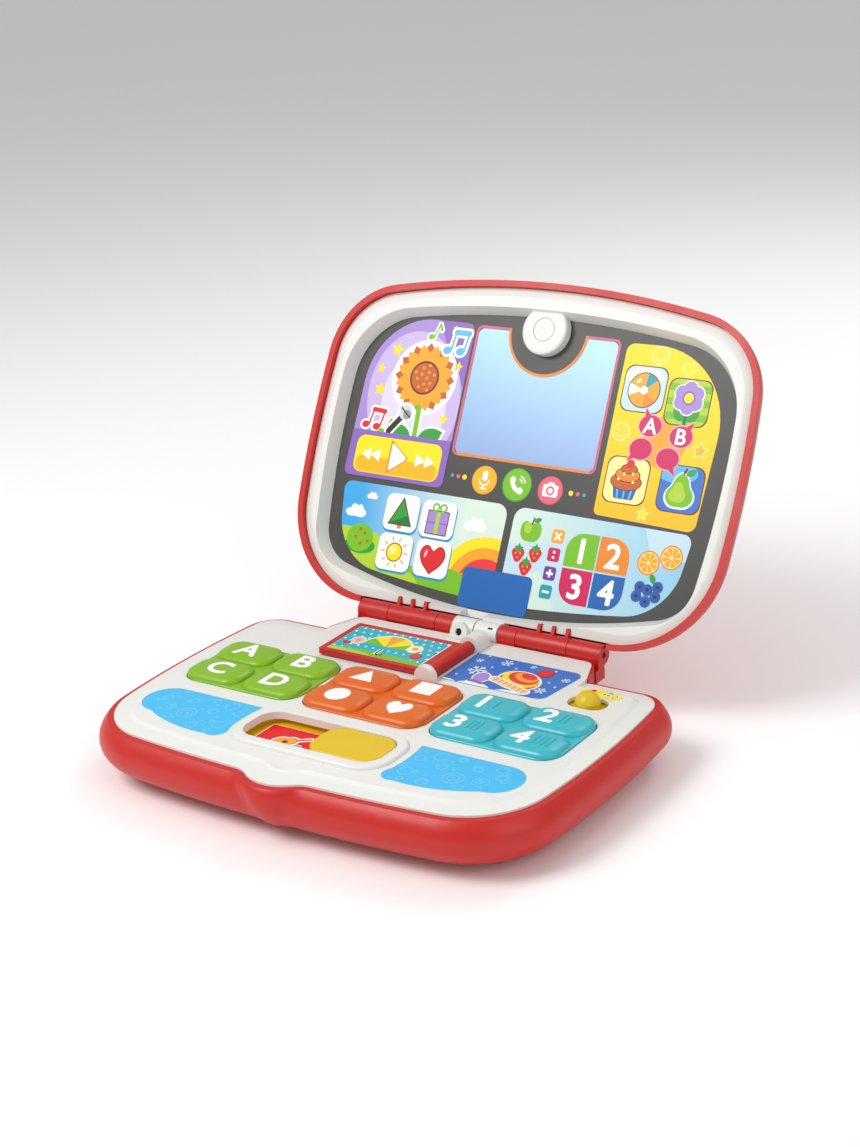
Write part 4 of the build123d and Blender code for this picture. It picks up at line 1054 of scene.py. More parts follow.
    def faint_icons(self) -> None:
        """Pale outline icons between the tiles: faces, a heart and a star."""
        sheet = self.sheet
        for spot in ((74.5, 169.5), (59.5, 124.5)):
            sheet.arc(Ink.PALE_YELLOW, 3, spot, 4.6, 5.3)
            sheet.arc(Ink.PALE_YELLOW, 3, spot, 2.5, 3.1, 200, 140)
            for dx in (-1.7, 1.7):
                sheet.disc(Ink.PALE_YELLOW, 3, (spot[0] + dx, spot[1] + 1.4), 0.55)
        Motifs.heart(sheet, Ink.PALE_YELLOW, 3, (93.5, 163.5), 4.6)
        Motifs.heart(sheet, Ink.YELLOW, 4, (93.5, 163.5), 3.8)
        sheet.polygon(Ink.PALE_YELLOW, 3, star_points((110, 119.5), 5.4), 0.5)
        sheet.polygon(Ink.AMBER, 4, star_points((110, 119.5), 4.1), 0.5)
        sheet.polygon(Ink.PALE_YELLOW, 3, star_points((83, 80.5), 4.6), 0.5)
        sheet.polygon(Ink.YELLOW, 4, star_points((83, 80.5), 3.5), 0.5)

    def ball(self, middle: Point) -> None:
        """A beach ball in orange, teal and white.

        Args:
            middle: The tile's middle.
        """
        sheet, (x, y) = self.sheet, middle
        sheet.disc(Ink.WHITE, 7, (x - 1, y + 7), 12, 5)
        sheet.disc(Ink.BROWN_LINE, 8, (x, y - 0.5), 10.2)
        sheet.disc(Ink.GOLD, 9, (x, y - 0.5), 9.6)
        for step, ink in enumerate((Ink.TEAL, Ink.WHITE, Ink.ORANGE)):
            angle = 40 + 120 * step
            sheet.arc(ink, 10, (x, y - 0.5), 1.8, 9.6, angle, 42)
        sheet.disc(Ink.WHITE, 11, (x, y - 0.5), 2.4)
        sheet.disc(Ink.PALE_YELLOW, 12, (x - 4.2, y + 4.4), 1.8, 1.1, 40)

    def tulip(self, middle: Point) -> None:
        """A lilac flower on striped green.

        Args:
            middle: The tile's middle.
        """
        sheet, (x, y) = self.sheet, middle
        for band in (-8, 0, 8):
            sheet.box(Ink.LEAF, 7, (x - 14, y + band - 2), (x + 14, y + band + 2))
        sheet.stroke(Ink.DARK_GREEN, 8, [(x, y - 13), (x, y - 3)], 2.2)
        sheet.blob(Ink.GREEN, 9, LEAF, LEAF_TIPS, (x + 4.4, y - 7.5), 5.0, -48)
        sheet.blob(Ink.GREEN, 9, LEAF, LEAF_TIPS, (x - 4.4, y - 7.5), 5.0, 48)
        for angle in range(0, 360, 60):
            spot = (x + 5.2 * cos(radians(angle + 30)), y + 2.5 + 5.2 * sin(radians(angle + 30)))
            sheet.disc(Ink.WHITE, 10, spot, 4.9)
            sheet.disc(Ink.LILAC, 11, spot, 4.2)
        sheet.disc(Ink.VIOLET, 12, (x, y + 2.5), 4.0)
        sheet.disc(Ink.YELLOW, 13, (x, y + 2.5), 2.9)

    def cupcake(self, middle: Point) -> None:
        """A brown cupcake in a blue paper cup.

        Args:
            middle: The tile's middle.
        """
        sheet, (x, y) = self.sheet, middle
        sheet.polygon(Ink.BLUE, 9, [(x - 6.0, y - 10.5), (x + 6.0, y - 10.5), (x + 8.0, y - 1.5),
                                    (x - 8.0, y - 1.5)], 1.0)
        for step in (-1, 0, 1):
            sheet.stroke(Ink.SKY, 10, [(x + step * 3.8, y - 9.6), (x + step * 4.8, y - 2.0)], 1.3)
        for level, spot, radius in ((11, (0, -0.6), 9.4), (12, (0.3, 3.2), 7.4), (13, (0.6, 6.6), 4.8)):
            sheet.disc(Ink.BROWN_LINE, level, (x + spot[0], y + spot[1]), radius + 0.5, radius * 0.5 + 0.5)
            sheet.disc(Ink.RUST if level != 12 else Ink.ORANGE, level + 1, (x + spot[0], y + spot[1]), radius,
                       radius * 0.5)
        sheet.disc(Ink.RED, 15, (x + 0.8, y + 9.6), 2.4)
        for dx, dy in ((-5, 0.4), (4.4, -0.4), (-2, 3.6), (3.6, 4.2)):
            sheet.disc(Ink.PALE_YELLOW, 15, (x + dx, y + dy), 0.8)

    def pear(self, middle: Point) -> None:
        """A green pear on blue.

        Args:
            middle: The tile's middle.
        """
        sheet, (x, y) = self.sheet, middle
        sheet.disc(Ink.SKY, 7, (x - 4, y + 9), 13, 6)
        shape = ((0, -9.6), (6.2, -8.2), (8.4, -3.0), (5.4, 2.2), (3.4, 6.8), (0, 8.8), (-3.4, 6.8),
                 (-5.4, 2.2), (-8.4, -3.0), (-6.2, -8.2))
        sheet.stroke(Ink.BROWN_LINE, 8, [(x, y + 7.4), (x + 1.6, y + 11.4)], 1.3)
        sheet.blob(Ink.WHITE, 8, shape, (), (x, y - 0.3), 1.12)
        sheet.blob(Ink.LEAF, 9, shape, (), (x, y - 0.3), 1.0)
        sheet.blob(Ink.LIME, 10, shape, (), (x - 1.4, y - 1.4), 0.62)
        sheet.blob(Ink.GREEN, 10, LEAF, LEAF_TIPS, (x + 4.8, y + 9.6), 3.4, -62)

    def sky(self) -> None:
        """The sky field: hills, a bush, clouds, a rainbow and four white picture keys."""
        sheet, area = self.sheet, self.sky_field
        sheet.field(Ink.ICE, 1, area, 0.8)
        day = PrintedFilm("ink_sky_to_mint", "3FAAEA", fade_to="DDEFE2", fade_axis=0, fade_mm=(-105, -30))
        sheet.field(day, 2, area)
        sheet.window = area
        for band, ink in enumerate((Ink.YELLOW, Ink.GOLD, Ink.SCARLET, Ink.SKY, Ink.PALE_SKY)):
            sheet.arc(ink, 4, (-9, 22), max(32 - 6.4 * band - 6.5, 0.5), 32 - 6.4 * band, 0, 180)
        sheet.disc(Ink.LIME, 5, (-106, 22), 44, 25)
        sheet.disc(Ink.LEAF, 6, (-40, 10), 46, 22)
        sheet.disc(Ink.LIME, 7, (-78, 8), 30, 22)
        sheet.disc(Ink.LEAF, 8, (-100, 41), 9.5, 8.5)
        sheet.disc(Ink.GREEN, 7, (-99, 36.5), 11, 5)
        for spot in ((-103, 41), (-97, 44), (-99, 37.5), (-94, 39.5), (-100.5, 46)):
            sheet.disc(Ink.RUST, 9, spot, 1.1)
        Motifs.cloud(sheet, 9, (-106.5, 56), 6.4)
        Motifs.cloud(sheet, 9, (-97, 66.5), 3.4)
        Motifs.cloud(sheet, 9, (-22, 59), 6.8)
        sheet.window = None
        keys = (((-86, 48.5), self.fir), ((-60, 48), self.gift), ((-85.5, 24.8), self.sun),
                ((-58.5, 24.8), self.love))
        for (x, y), motif in keys:
            sheet.box(Ink.TILE_EDGE, 10, (x, y - 1.4), (x + 24.6, y + 21.6), 5)
            sheet.box(Ink.WHITE, 11, (x, y), (x + 24.0, y + 22), 4.6)
            motif((x + 12.0, y + 11))

    def fir(self, middle: Point) -> None:
        """A green triangle tree.

        Args:
            middle: The tile's middle.
        """
        sheet, (x, y) = self.sheet, middle
        sheet.box(Ink.ORANGE, 12, (x - 1.5, y - 9.5), (x + 1.5, y - 6), 0.3)
        sheet.polygon(Ink.BROWN_LINE, 13, [(x - 8.6, y - 7.6), (x + 8.6, y - 7.6), (x, y + 9.6)], 0.4)
        sheet.polygon(Ink.GREEN, 14, [(x - 7.4, y - 6.9), (x + 7.4, y - 6.9), (x, y + 7.8)], 0.3)
        sheet.polygon(Ink.DARK_GREEN, 15, [(x - 7.4, y - 6.9), (x + 7.4, y - 6.9), (x + 4.6, y - 1.4)], 0.2)

    def gift(self, middle: Point) -> None:
        """A wrapped present with a green ribbon.

        Args:
            middle: The tile's middle.
        """
        sheet, (x, y) = self.sheet, middle
        sheet.box(Ink.BROWN_LINE, 12, (x - 7.6, y - 9.2), (x + 7.6, y + 5.2), 0.6)
        sheet.box(Ink.LILAC, 13, (x - 7.0, y - 8.6), (x + 7.0, y + 4.6), 0.4)
        sheet.box(Ink.VIOLET, 14, (x - 7.0, y - 2.6), (x + 7.0, y - 1.8))
        sheet.box(Ink.LIME, 15, (x - 1.3, y - 8.6), (x + 1.3, y + 4.6))
        for side in (-1, 1):
            sheet.arc(Ink.LEAF, 16, (x + side * 2.6, y + 7.0), 1.5, 2.6)

    def sun(self, middle: Point) -> None:
        """A sun with short rays.

        Args:
            middle: The tile's middle.
        """
        sheet, (x, y) = self.sheet, middle
        for step in range(10):
            way = Vector((cos(radians(36 * step)), sin(radians(36 * step))))
            spot = Vector(middle)
            sheet.stroke(Ink.GOLD, 12, [tuple(spot + way * 7.2), tuple(spot + way * 9.0)], 0.9)
        sheet.disc(Ink.BROWN_LINE, 13, (x, y), 5.7)
        sheet.disc(Ink.YELLOW, 14, (x, y), 5.1)
        sheet.disc(Ink.PALE_YELLOW, 15, (x - 1.2, y + 1.2), 2.6)

    def love(self, middle: Point) -> None:
        """A red heart with a highlight.

        Args:
            middle: The tile's middle.
        """
        sheet, (x, y) = self.sheet, middle
        Motifs.heart(sheet, Ink.DARK_RED, 12, (x, y - 0.2), 9.2)
        Motifs.heart(sheet, Ink.RED, 13, (x, y - 0.1), 8.3)
        sheet.disc(Ink.PALE_PINK, 14, (x - 4.8, y + 2.6), 0.9, 2.4, -14)

    def sums(self) -> None:
        """The pale field: four coloured numbers, four sums signs and fruit."""
        sheet, area = self.sheet, self.sums_field
        sheet.field(Ink.WHITE, 1, area, 0.8)
        pale = PrintedFilm("ink_mint_to_sky", "DCEFE4", fade_to="93CFEE", fade_axis=0, fade_mm=(10, 116))
        sheet.field(pale, 2, area)
        sheet.window = area
        sheet.polygon(Ink.PALE_SKY, 3, [(0, 52), (34, 58), (60, 40), (20, 14), (0, 14)], 2)
        sheet.polygon(Ink.PALE_SKY, 3, [(86, 76), (120, 76), (120, 60), (96, 52)], 2)
        sheet.polygon(Ink.MINT, 4, [(0, 30), (26, 40), (44, 14), (0, 14)], 2)
        sheet.window = None
        self.number_block()
        signs = ((Sign.TIMES, (33.6, 60.8), Ink.GOLD), (Sign.DIVIDED, (33.2, 50.2), Ink.MAGENTA),
                 (Sign.PLUS, (33.0, 39.4), Ink.PURPLE), (Sign.MINUS, (32.8, 28.8), Ink.TEAL))
        for mark, spot, ink in signs:
            x, y = spot
            sheet.box(ink, 6, (x - 3.9, y - 3.9), (x + 3.9, y + 3.9), 1.5)
            self.sign(mark, spot)
        self.fruit()

    def number_block(self) -> None:
        """Four quarters with the digits 1 to 4."""
        sheet, (cx, cy), reach = self.sheet, (60.6, 44.6), 20.3
        quarters = (("1", -1, 1, Ink.LEAF), ("2", 1, 1, Ink.ORANGE), ("3", -1, -1, Ink.MAGENTA),
                    ("4", 1, -1, Ink.BLUE))
        for digit, sx, sy, ink in quarters:
            outer = (cx + sx * reach, cy + sy * reach)
            inner = (cx + sx * 0.5, cy + sy * 0.5)
            corners = [(*inner, 0), (outer[0], inner[1], 0), (*outer, 11), (inner[0], outer[1], 0)]
            if sx * sy < 0:
                corners.reverse()
            quarter = Window(corners)
            sheet.field(Ink.WHITE, 6, quarter, 0.8)
            sheet.field(ink, 7, quarter)
            middle = (cx + sx * reach * 0.5, cy + sy * reach * 0.5)
            sheet.text(Ink.WHITE, 8, digit, middle, 13.4, bold=0.04, wide=1.05)

    def sign(self, mark: Sign, spot: Point) -> None:
        """A sums sign in white on its square.

        Args:
            mark: Which sign.
            spot: Its middle.
        """
        sheet, (x, y) = self.sheet, spot
        if mark in (Sign.PLUS, Sign.MINUS):
            sheet.box(Ink.WHITE, 7, (x - 2.3, y - 0.7), (x + 2.3, y + 0.7), 0.3)
        if mark is Sign.PLUS:
            sheet.box(Ink.WHITE, 7, (x - 0.7, y - 2.3), (x + 0.7, y + 2.3), 0.3)
        if mark is Sign.TIMES:
            for side in (-1, 1):
                sheet.stroke(Ink.WHITE, 7, [(x - 1.7, y - 1.7 * side), (x + 1.7, y + 1.7 * side)], 1.3)
        if mark is Sign.DIVIDED:
            for dy in (-1.5, 1.5):
                sheet.disc(Ink.WHITE, 7, (x, y + dy), 0.85)

    def fruit(self) -> None:
        """An apple, strawberries, orange slices and blueberries."""
        sheet = self.sheet
        sheet.blob(Ink.LEAF, 6, APPLE, (), (15.4, 61.6))
        sheet.disc(Ink.LIME, 7, (13.2, 62.8), 2.6, 3.2)
        sheet.stroke(Ink.BROWN_LINE, 7, [(15.4, 65.4), (16.4, 68.8)], 0.9)
        sheet.blob(Ink.GREEN, 7, LEAF, LEAF_TIPS, (18.8, 68.0), 2.6, -66)
        for x, y in ((10, 47.6), (21.2, 48.8), (16.4, 40.6)):
            sheet.blob(Ink.RED, 6, STRAWBERRY, (), (x, y))
            sheet.polygon(Ink.GREEN, 7, star_points((x, y + 3.0), 3.2, 90, 5, 0.5), 0.2)
            for dx, dy in ((-1.6, 0), (1.5, 0.2), (0, -2.2)):
                sheet.disc(Ink.PALE_YELLOW, 8, (x + dx, y + dy), 0.4)
        for x, y in ((93.0, 54.6), (106.2, 59.4)):
            sheet.disc(Ink.ORANGE, 6, (x, y), 6.9)
            sheet.disc(Ink.PALE_YELLOW, 7, (x, y), 6.0)
            for step in range(8):
                sheet.arc(Ink.GOLD, 8, (x, y), 1.0, 5.5, 45 * step + 4, 37)
        for x, y in ((89.5, 35.5), (95.5, 33.2), (101.0, 36.6), (95.5, 39.8), (101.5, 42.0), (90.6, 40.8)):
            sheet.disc(Ink.BLUE, 6, (x, y), 3.3)
            sheet.disc(Ink.BERRY, 7, (x + 0.3, y - 0.3), 2.7)
            sheet.polygon(Ink.BLACK, 8, star_points((x, y), 1.3), 0.1)
        sheet.blob(Ink.GREEN, 9, LEAF, LEAF_TIPS, (97.4, 46.2), 3.2, 30)

    def icons(self) -> None:
        """The row of three call buttons and the dots beside it."""
        sheet = self.sheet
        for spot, radius, ink, edge in (((-22.2, 86.1), 8.4, Ink.AMBER, Ink.GOLD), ((0, 86.1), 9.9, Ink.LEAF,
                                        Ink.GREEN), ((22.4, 85.9), 8.2, Ink.PINK, Ink.ROSE)):
            sheet.disc(edge, 2, spot, radius)
            sheet.disc(ink, 3, (spot[0], spot[1] + 0.2), radius - 0.7)
        sheet.box(Ink.WHITE, 5, (-24.0, 85.6), (-20.4, 91.6), 1.8)
        sheet.arc(Ink.WHITE, 5, (-22.2, 86.4), 2.9, 3.7, 180, 180)
        sheet.stroke(Ink.WHITE, 5, [(-22.2, 82.9), (-22.2, 81.2)], 0.9)
        sheet.stroke(Ink.WHITE, 5, [(-24.2, 81.2), (-20.2, 81.2)], 0.9)
        sheet.arc(Ink.WHITE, 5, (3.4, 89.6), 5.6, 8.3, 182, 86)
        for x, y in ((-3.2, 88.8), (2.6, 83.0)):
            sheet.disc(Ink.WHITE, 5, (x, y), 2.0)
        for reach in (2.3, 4.1):
            sheet.arc(Ink.WHITE, 5, (0.6, 87.0), reach, reach + 0.8, 10, 70)
        sheet.box(Ink.WHITE, 5, (17.4, 82.2), (27.4, 89.2), 1.2)
        sheet.box(Ink.WHITE, 5, (20.3, 88.4), (24.5, 90.6), 0.5)
        sheet.disc(Ink.PINK, 6, (22.4, 85.7), 2.7)
        sheet.disc(Ink.WHITE, 7, (22.4, 85.7), 1.6)
        for side in (-1, 1):
            for x, radius, ink in ((36, 1.5, Ink.YELLOW), (40.4, 1.25, Ink.PINK), (44.6, 1.05, Ink.AQUA)):
                sheet.disc(ink, 2, (side * x, 86.1), radius)

    def mirror_border(self) -> None:
        """The rose and orange line round the mirror and its round notch."""
        sheet, (cx, cy) = self.sheet, (0.0, 176.2)
        left, right, low, high = -48.5, 48.5, 98.2, 176.2
        inner, notch = 1.6, 24.9
        gap = notch + inner
        for x0, x1, ink in ((left, left + inner, Ink.ROSE), (right - inner, right, Ink.ROSE)):
            sheet.box(ink, 2, (x0, low + 4), (x1, high - 4))
        sheet.box(Ink.ORANGE, 2, (left + 4, low), (right - 4, low + inner))
        for side in (-1, 1):
            edge = sorted((side * gap, side * (right - 4)))
            sheet.box(Ink.ROSE, 2, (edge[0], high - inner), (edge[1], high))
        for sx, sy, start in ((-1, -1, 180), (1, -1, 270), (1, 1, 0), (-1, 1, 90)):
            corner = (sx * (right - 4), low + 4 if sy < 0 else high - 4)
            sheet.arc(Ink.ROSE, 2, corner, 4 - inner, 4, start, 90)
        sheet.arc(Ink.ORANGE, 2, (cx, cy), notch, gap, 180, 180)


# ---- deck prints ------------------------------------------------------------------
@dataclass
class WristStickers:
    """The two blue stickers with their bubble pattern."""

    places: Places
    rings: tuple[tuple[float, float, float], ...] = (
        (-108, -46, 3.2), (-101, -55, 4.6), (-100, -55, 1.7), (-92, -43, 3.0), (-86, -57, 5.8),
        (-86, -57, 3.4), (-74, -49, 3.2), (-68, -40, 4.2), (-60, -61, 4.0), (-66, -60, 1.8),
        (-59, -46, 3.0), (-94, -64, 2.4), (-74, -67, 3.4), (-111, -49, 2.2), (-104, -39, 3.4),
        (-80, -38, 2.4), (-62, -69, 2.0), (-56, -56, 1.4))

    def build(self) -> None:
        """Print rings and dots on both stickers, as mirror images."""
        for side, name in ((-1, "left"), (1, "right")):
            sheet = InkSheet(f"wrist_print_{name}", self.places.deck(-0.1), "base")
            for index, (x, y, radius) in enumerate(self.rings):
                spot = (-side * x, y)
                sheet.arc(Ink.BUBBLE_LINE, 1, spot, radius - 0.45, radius)
                if index % 3 == 0:
                    sheet.arc(Ink.BUBBLE_LINE, 1, spot, radius * 0.5, radius * 0.5 + 0.4, 20, 200)
            for index in range(12):
                spot = (side * (58 + 4.6 * index), -39 - (index * 7.3) % 26)
                sheet.disc(Ink.BUBBLE_LINE, 1, spot, 0.9, 0.55, 20)
            sheet.finish()


@dataclass
class FlipPagePrint:
    """The upper picture of the red page: an umbrella and flowers in the rain."""

    places: Places
    ground: Window = field(default_factory=lambda: Window(
        [(-63.7, 39.6, 0.4), (-1.5, 39.6, 0.4), (-1.5, 72.2, 0.4), (-63.7, 72.2, 0.4)], 2))

    def build(self) -> None:
        """Print the picture."""
        sheet = InkSheet("page_print", self.places.deck(4.12), "page")
        sheet.window = self.ground
        sheet.field(Ink.AQUA, 1, self.ground)
        for row in range(6):
            for column in range(13):
                spot = (-62 + 5.2 * column + (row % 2) * 2.6, 44 + 5.4 * row)
                sheet.disc(Ink.WHITE, 2, spot, 0.75, 0.95)
        sheet.disc(Ink.LEAF, 3, (-32, 36), 44, 9.5)
        sheet.disc(Ink.LIME, 4, (-52, 35), 24, 8)
        self.umbrella(sheet)
        self.flowers(sheet)
        sheet.disc(Ink.DARK_RED, 8, (-10, 50), 3.6)
        sheet.disc(Ink.SCARLET, 9, (-10.2, 50.2), 3.0)
        Motifs.heart(sheet, Ink.RED, 8, (-58, 50), 2.6)
        sheet.finish()

    @staticmethod
    def umbrella(sheet: InkSheet) -> None:
        """A big umbrella in yellow and green panels.

        Args:
            sheet: The sheet to print on.
        """
        x, y = -33.0, 52.5
        sheet.stroke(Ink.WHITE, 5, [(x, y - 9), (x, y + 14)], 2.4)
        sheet.stroke(Ink.BROWN_LINE, 6, [(x, y - 8), (x, y + 14)], 1.1)
        sheet.arc(Ink.BROWN_LINE, 6, (x + 2, y - 8), 1.5, 2.6, 180, 180)
        sheet.arc(Ink.WHITE, 6, (x, y), 0.1, 16.4, 0, 180)
        for step, ink in enumerate((Ink.LEAF, Ink.YELLOW, Ink.GOLD, Ink.YELLOW, Ink.LEAF)):
            sheet.arc(ink, 7, (x, y), 0.1, 15.4, 36 * step, 36)
        for step in range(5):
            sheet.disc(Ink.AQUA, 8, (x - 12.4 + 6.2 * step, y - 0.6), 3.1, 1.9)

    @staticmethod
    def flowers(sheet: InkSheet) -> None:
        """Two small flowers beside the umbrella.

        Args:
            sheet: The sheet to print on.
        """
        for x, y, ink in ((-53, 55, Ink.PALE_PINK), (-16, 58, Ink.PALE_YELLOW)):
            for angle in range(0, 360, 72):
                spot = (x + 2.6 * cos(radians(angle)), y + 2.6 * sin(radians(angle)))
                sheet.disc(Ink.WHITE, 8, spot, 2.5)
                sheet.disc(ink, 9, spot, 1.9)
            sheet.disc(Ink.GOLD, 10, (x, y), 1.9)


@dataclass
class WinterPrint:
    """The blue picture beside the spine: a woolly hat and snowflakes."""

    places: Places

    def build(self) -> None:
        """Print the picture."""
        sheet = InkSheet("winter_print", self.places.deck(-0.1), "base")
        sheet.window = Window([(14, 39.8, 0), (78, 39.8, 5), (82.6, 76.6, 5), (14, 76.6, 0)], 6)
        flakes = (((26, 57), 5.4), ((36, 72), 3.6), ((71, 49), 3.4), ((20, 69), 2.2), ((77, 66), 2.6),
                  ((52, 73.5), 2.0))
        for spot, radius in flakes:
            Motifs.snowflake(sheet, 1, spot, radius)
        for spot in ((18, 48), (31, 64), (22, 76), (44, 68), (66, 74), (76, 56), (34, 48), (28, 43),
                     (70, 60)):
            sheet.disc(Ink.WHITE, 1, spot, 0.7)
        for x, radius in ((16, 9), (34, 12), (56, 10), (76, 7)):
            sheet.disc(Ink.WHITE, 2, (x, 36), radius, radius * 0.62)
        self.hat(sheet, (54, 58))
        self.mitten(sheet, (33, 50))
        sheet.finish()

    @staticmethod
    def hat(sheet: InkSheet, foot: Point) -> None:
        """A striped woolly hat with a bobble.

        Args:
            sheet: The sheet to print on.
            foot: The middle of its brim.
        """
        x, y = foot
        turn = -20.0
        sheet.disc(Ink.WHITE, 3, (x, y - 3), 14.2, 11.2, turn)
        sheet.disc(Ink.SCARLET, 4, (x, y - 3), 13, 10, turn)
        for step, ink in enumerate((Ink.YELLOW, Ink.SCARLET, Ink.GOLD, Ink.SCARLET)):
            sheet.disc(ink, 5 + step, (x + 0.9 * step, y - 1.2 + 1.6 * step), 12.4 - 2.3 * step,
                       8.4 - 1.7 * step, turn)
        sheet.stroke(Ink.WHITE, 9, [(x - 13.5, y - 6.5), (x + 10.5, y - 14.5)], 6.6)
        sheet.stroke(Ink.SKIN_PEACH, 10, [(x - 13.2, y - 6.6), (x + 10.2, y - 14.4)], 5.0)
        for step in range(7):
            kx, ky = x - 12 + 3.6 * step, y - 7.0 - 1.2 * step
            sheet.stroke(Ink.ORANGE, 11, [(kx - 0.5, ky - 1.7), (kx + 0.5, ky + 1.7)], 0.9)
        sheet.disc(Ink.DARK_RED, 9, (x + 8.5, y + 11), 5.0)
        sheet.disc(Ink.RED, 10, (x + 8.3, y + 11.2), 4.2)

    @staticmethod
    def mitten(sheet: InkSheet, spot: Point) -> None:
        """A lilac mitten.

        Args:
            sheet: The sheet to print on.
            spot: Its middle.
        """
        x, y = spot
        for level, ink, grow in ((4, Ink.WHITE, 0.8), (5, Ink.LILAC, 0.0)):
            sheet.disc(ink, level, (x, y), 4.6 + grow, 6.0 + grow, 14)
            sheet.disc(ink, level, (x + 4.6, y + 0.6), 2.0 + grow, 3.6 + grow, -36)
        sheet.stroke(Ink.VIOLET, 6, [(x - 3.4, y - 5.4), (x + 4.2, y - 6.6)], 2.6)


@dataclass
class CushionPad:
    """A one-piece cap with four cushions and its printed or moulded legends."""

    places: Places
    name: str
    finish: Finish
    legends: tuple[Legend, ...]
    slot: str
    wide: float = 79.0
    deep: float = 52.6
    corner: float = 12.0
    pad_y: float = 3.5
    skirt_mm: float = 6.0
    valley_mm: float = 0.9
    top_mm: float = 4.5
    cushion_corner: float = 9.0
    gap: float = 1.0

    def cushions(self) -> list[Point]:
        """Middles of the cushions, back row first, left to right."""
        return [(self.centre_x + sx * self.wide / 4, self.pad_y + sy * self.deep / 4)
                for sy in (1, -1) for sx in (-1, 1)]

    @property
    def centre_x(self) -> float:
        """Middle of the pad across, from its packed box."""
        low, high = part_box(f"{self.name}_pad")
        return (low.x + high.x) / 2 / MM

    def plate(self, middle: Point, half: Point, corner: float, low: float, profile: Callable[[float], float],
              rise: float, reach: float, rings: int) -> bmesh.types.BMesh:
        """A rounded plate whose top swells from its edge.

        Args:
            middle: Its middle.
            half: Half its width and depth.
            corner: Its corner radius.
            low: Height of its underside.
            profile: Height share, 0 to 1, over the way share from the edge inwards.
            rise: Height of the swell.
            reach: Length of the way from the edge to the flat top.
            rings: Number of insets.

        Returns:
            The plate's mesh.
        """
        part = bmesh.new()
        x, y = middle
        corners = [(x - half[0], y - half[1]), (x + half[0], y - half[1]), (x + half[0], y + half[1]),
                   (x - half[0], y + half[1])]
        part.faces.new([part.verts.new((px, py, low)) for px, py in corners])
        bmesh.ops.bevel(part, geom=part.verts[:], offset=corner, offset_type="OFFSET", affect="VERTICES",
                        segments=14, profile=0.5, material=-1)
        bottom = next(iter(part.faces))
        lift = bmesh.ops.extrude_face_region(part, geom=[bottom], use_keep_orig=True)
        moved = [v for v in lift["geom"] if isinstance(v, bmesh.types.BMVert)]
        start = self.top_mm - rise if rise > 2 else self.valley_mm - rise
        bmesh.ops.translate(part, verts=moved, vec=(0, 0, start - low))
        top = next(f for f in lift["geom"] if isinstance(f, bmesh.types.BMFace))
        done_way, done_rise = 0.0, 0.0
        for ring in range(1, rings + 1):
            share = 1 - cos(pi / 2 * ring / rings)
            way, height = reach * share, rise * profile(share)
            bmesh.ops.inset_region(part, faces=[top], thickness=way - done_way, use_even_offset=True)
            bmesh.ops.translate(part, verts=list(top.verts), vec=(0, 0, height - done_rise))
            done_way, done_rise = way, height
        bmesh.ops.recalc_face_normals(part, faces=part.faces[:])
        return part

    def build(self) -> None:
        """Model the cap, then print its legends."""
        whole = bmesh.new()
        scratch = bpy.data.meshes.new("scratch")
        parts = [self.plate((self.centre_x, self.pad_y), (self.wide / 2, self.deep / 2), self.corner,
                            -self.skirt_mm, lambda s: sqrt(1 - (1 - s) ** 2), 1.4, 1.6, 6)]
        for middle in self.cushions():
            half = (self.wide / 4 - self.gap, self.deep / 4 - self.gap * 0.8)
            parts.append(self.plate(middle, half, self.cushion_corner, -2.0,
                                    lambda s: (1 - (1 - s) ** 2.3) ** (1 / 2.3), 3.9, 7.6, 12))
        for part in parts:
            part.to_mesh(scratch)
            part.free()
            whole.from_mesh(scratch)
        bmesh.ops.transform(whole, matrix=self.places.deck(), verts=whole.verts[:])
        mesh = bpy.data.meshes.new(f"{self.name}_cushions")
        whole.to_mesh(mesh)
        whole.free()
        bpy.data.meshes.remove(scratch)
        mesh.shade_smooth()
        mesh.materials.append(self.finish.material())
        body = f"{self.name}_pad"
        piece = adopt(f"{self.name}_cushions", mesh, body)
        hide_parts(body)
        self.print_legends(body)

    def print_legends(self, body: str) -> None:
        """Print one legend on each cushion.

        Args:
            body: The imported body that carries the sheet.
        """
        sheet = InkSheet(f"{self.name}_legends", self.places.deck(self.top_mm), body, self.slot, sink_mm=0.4)
        for middle, legend in zip(self.cushions(), self.legends):
            legend(sheet, middle)
        sheet.finish()


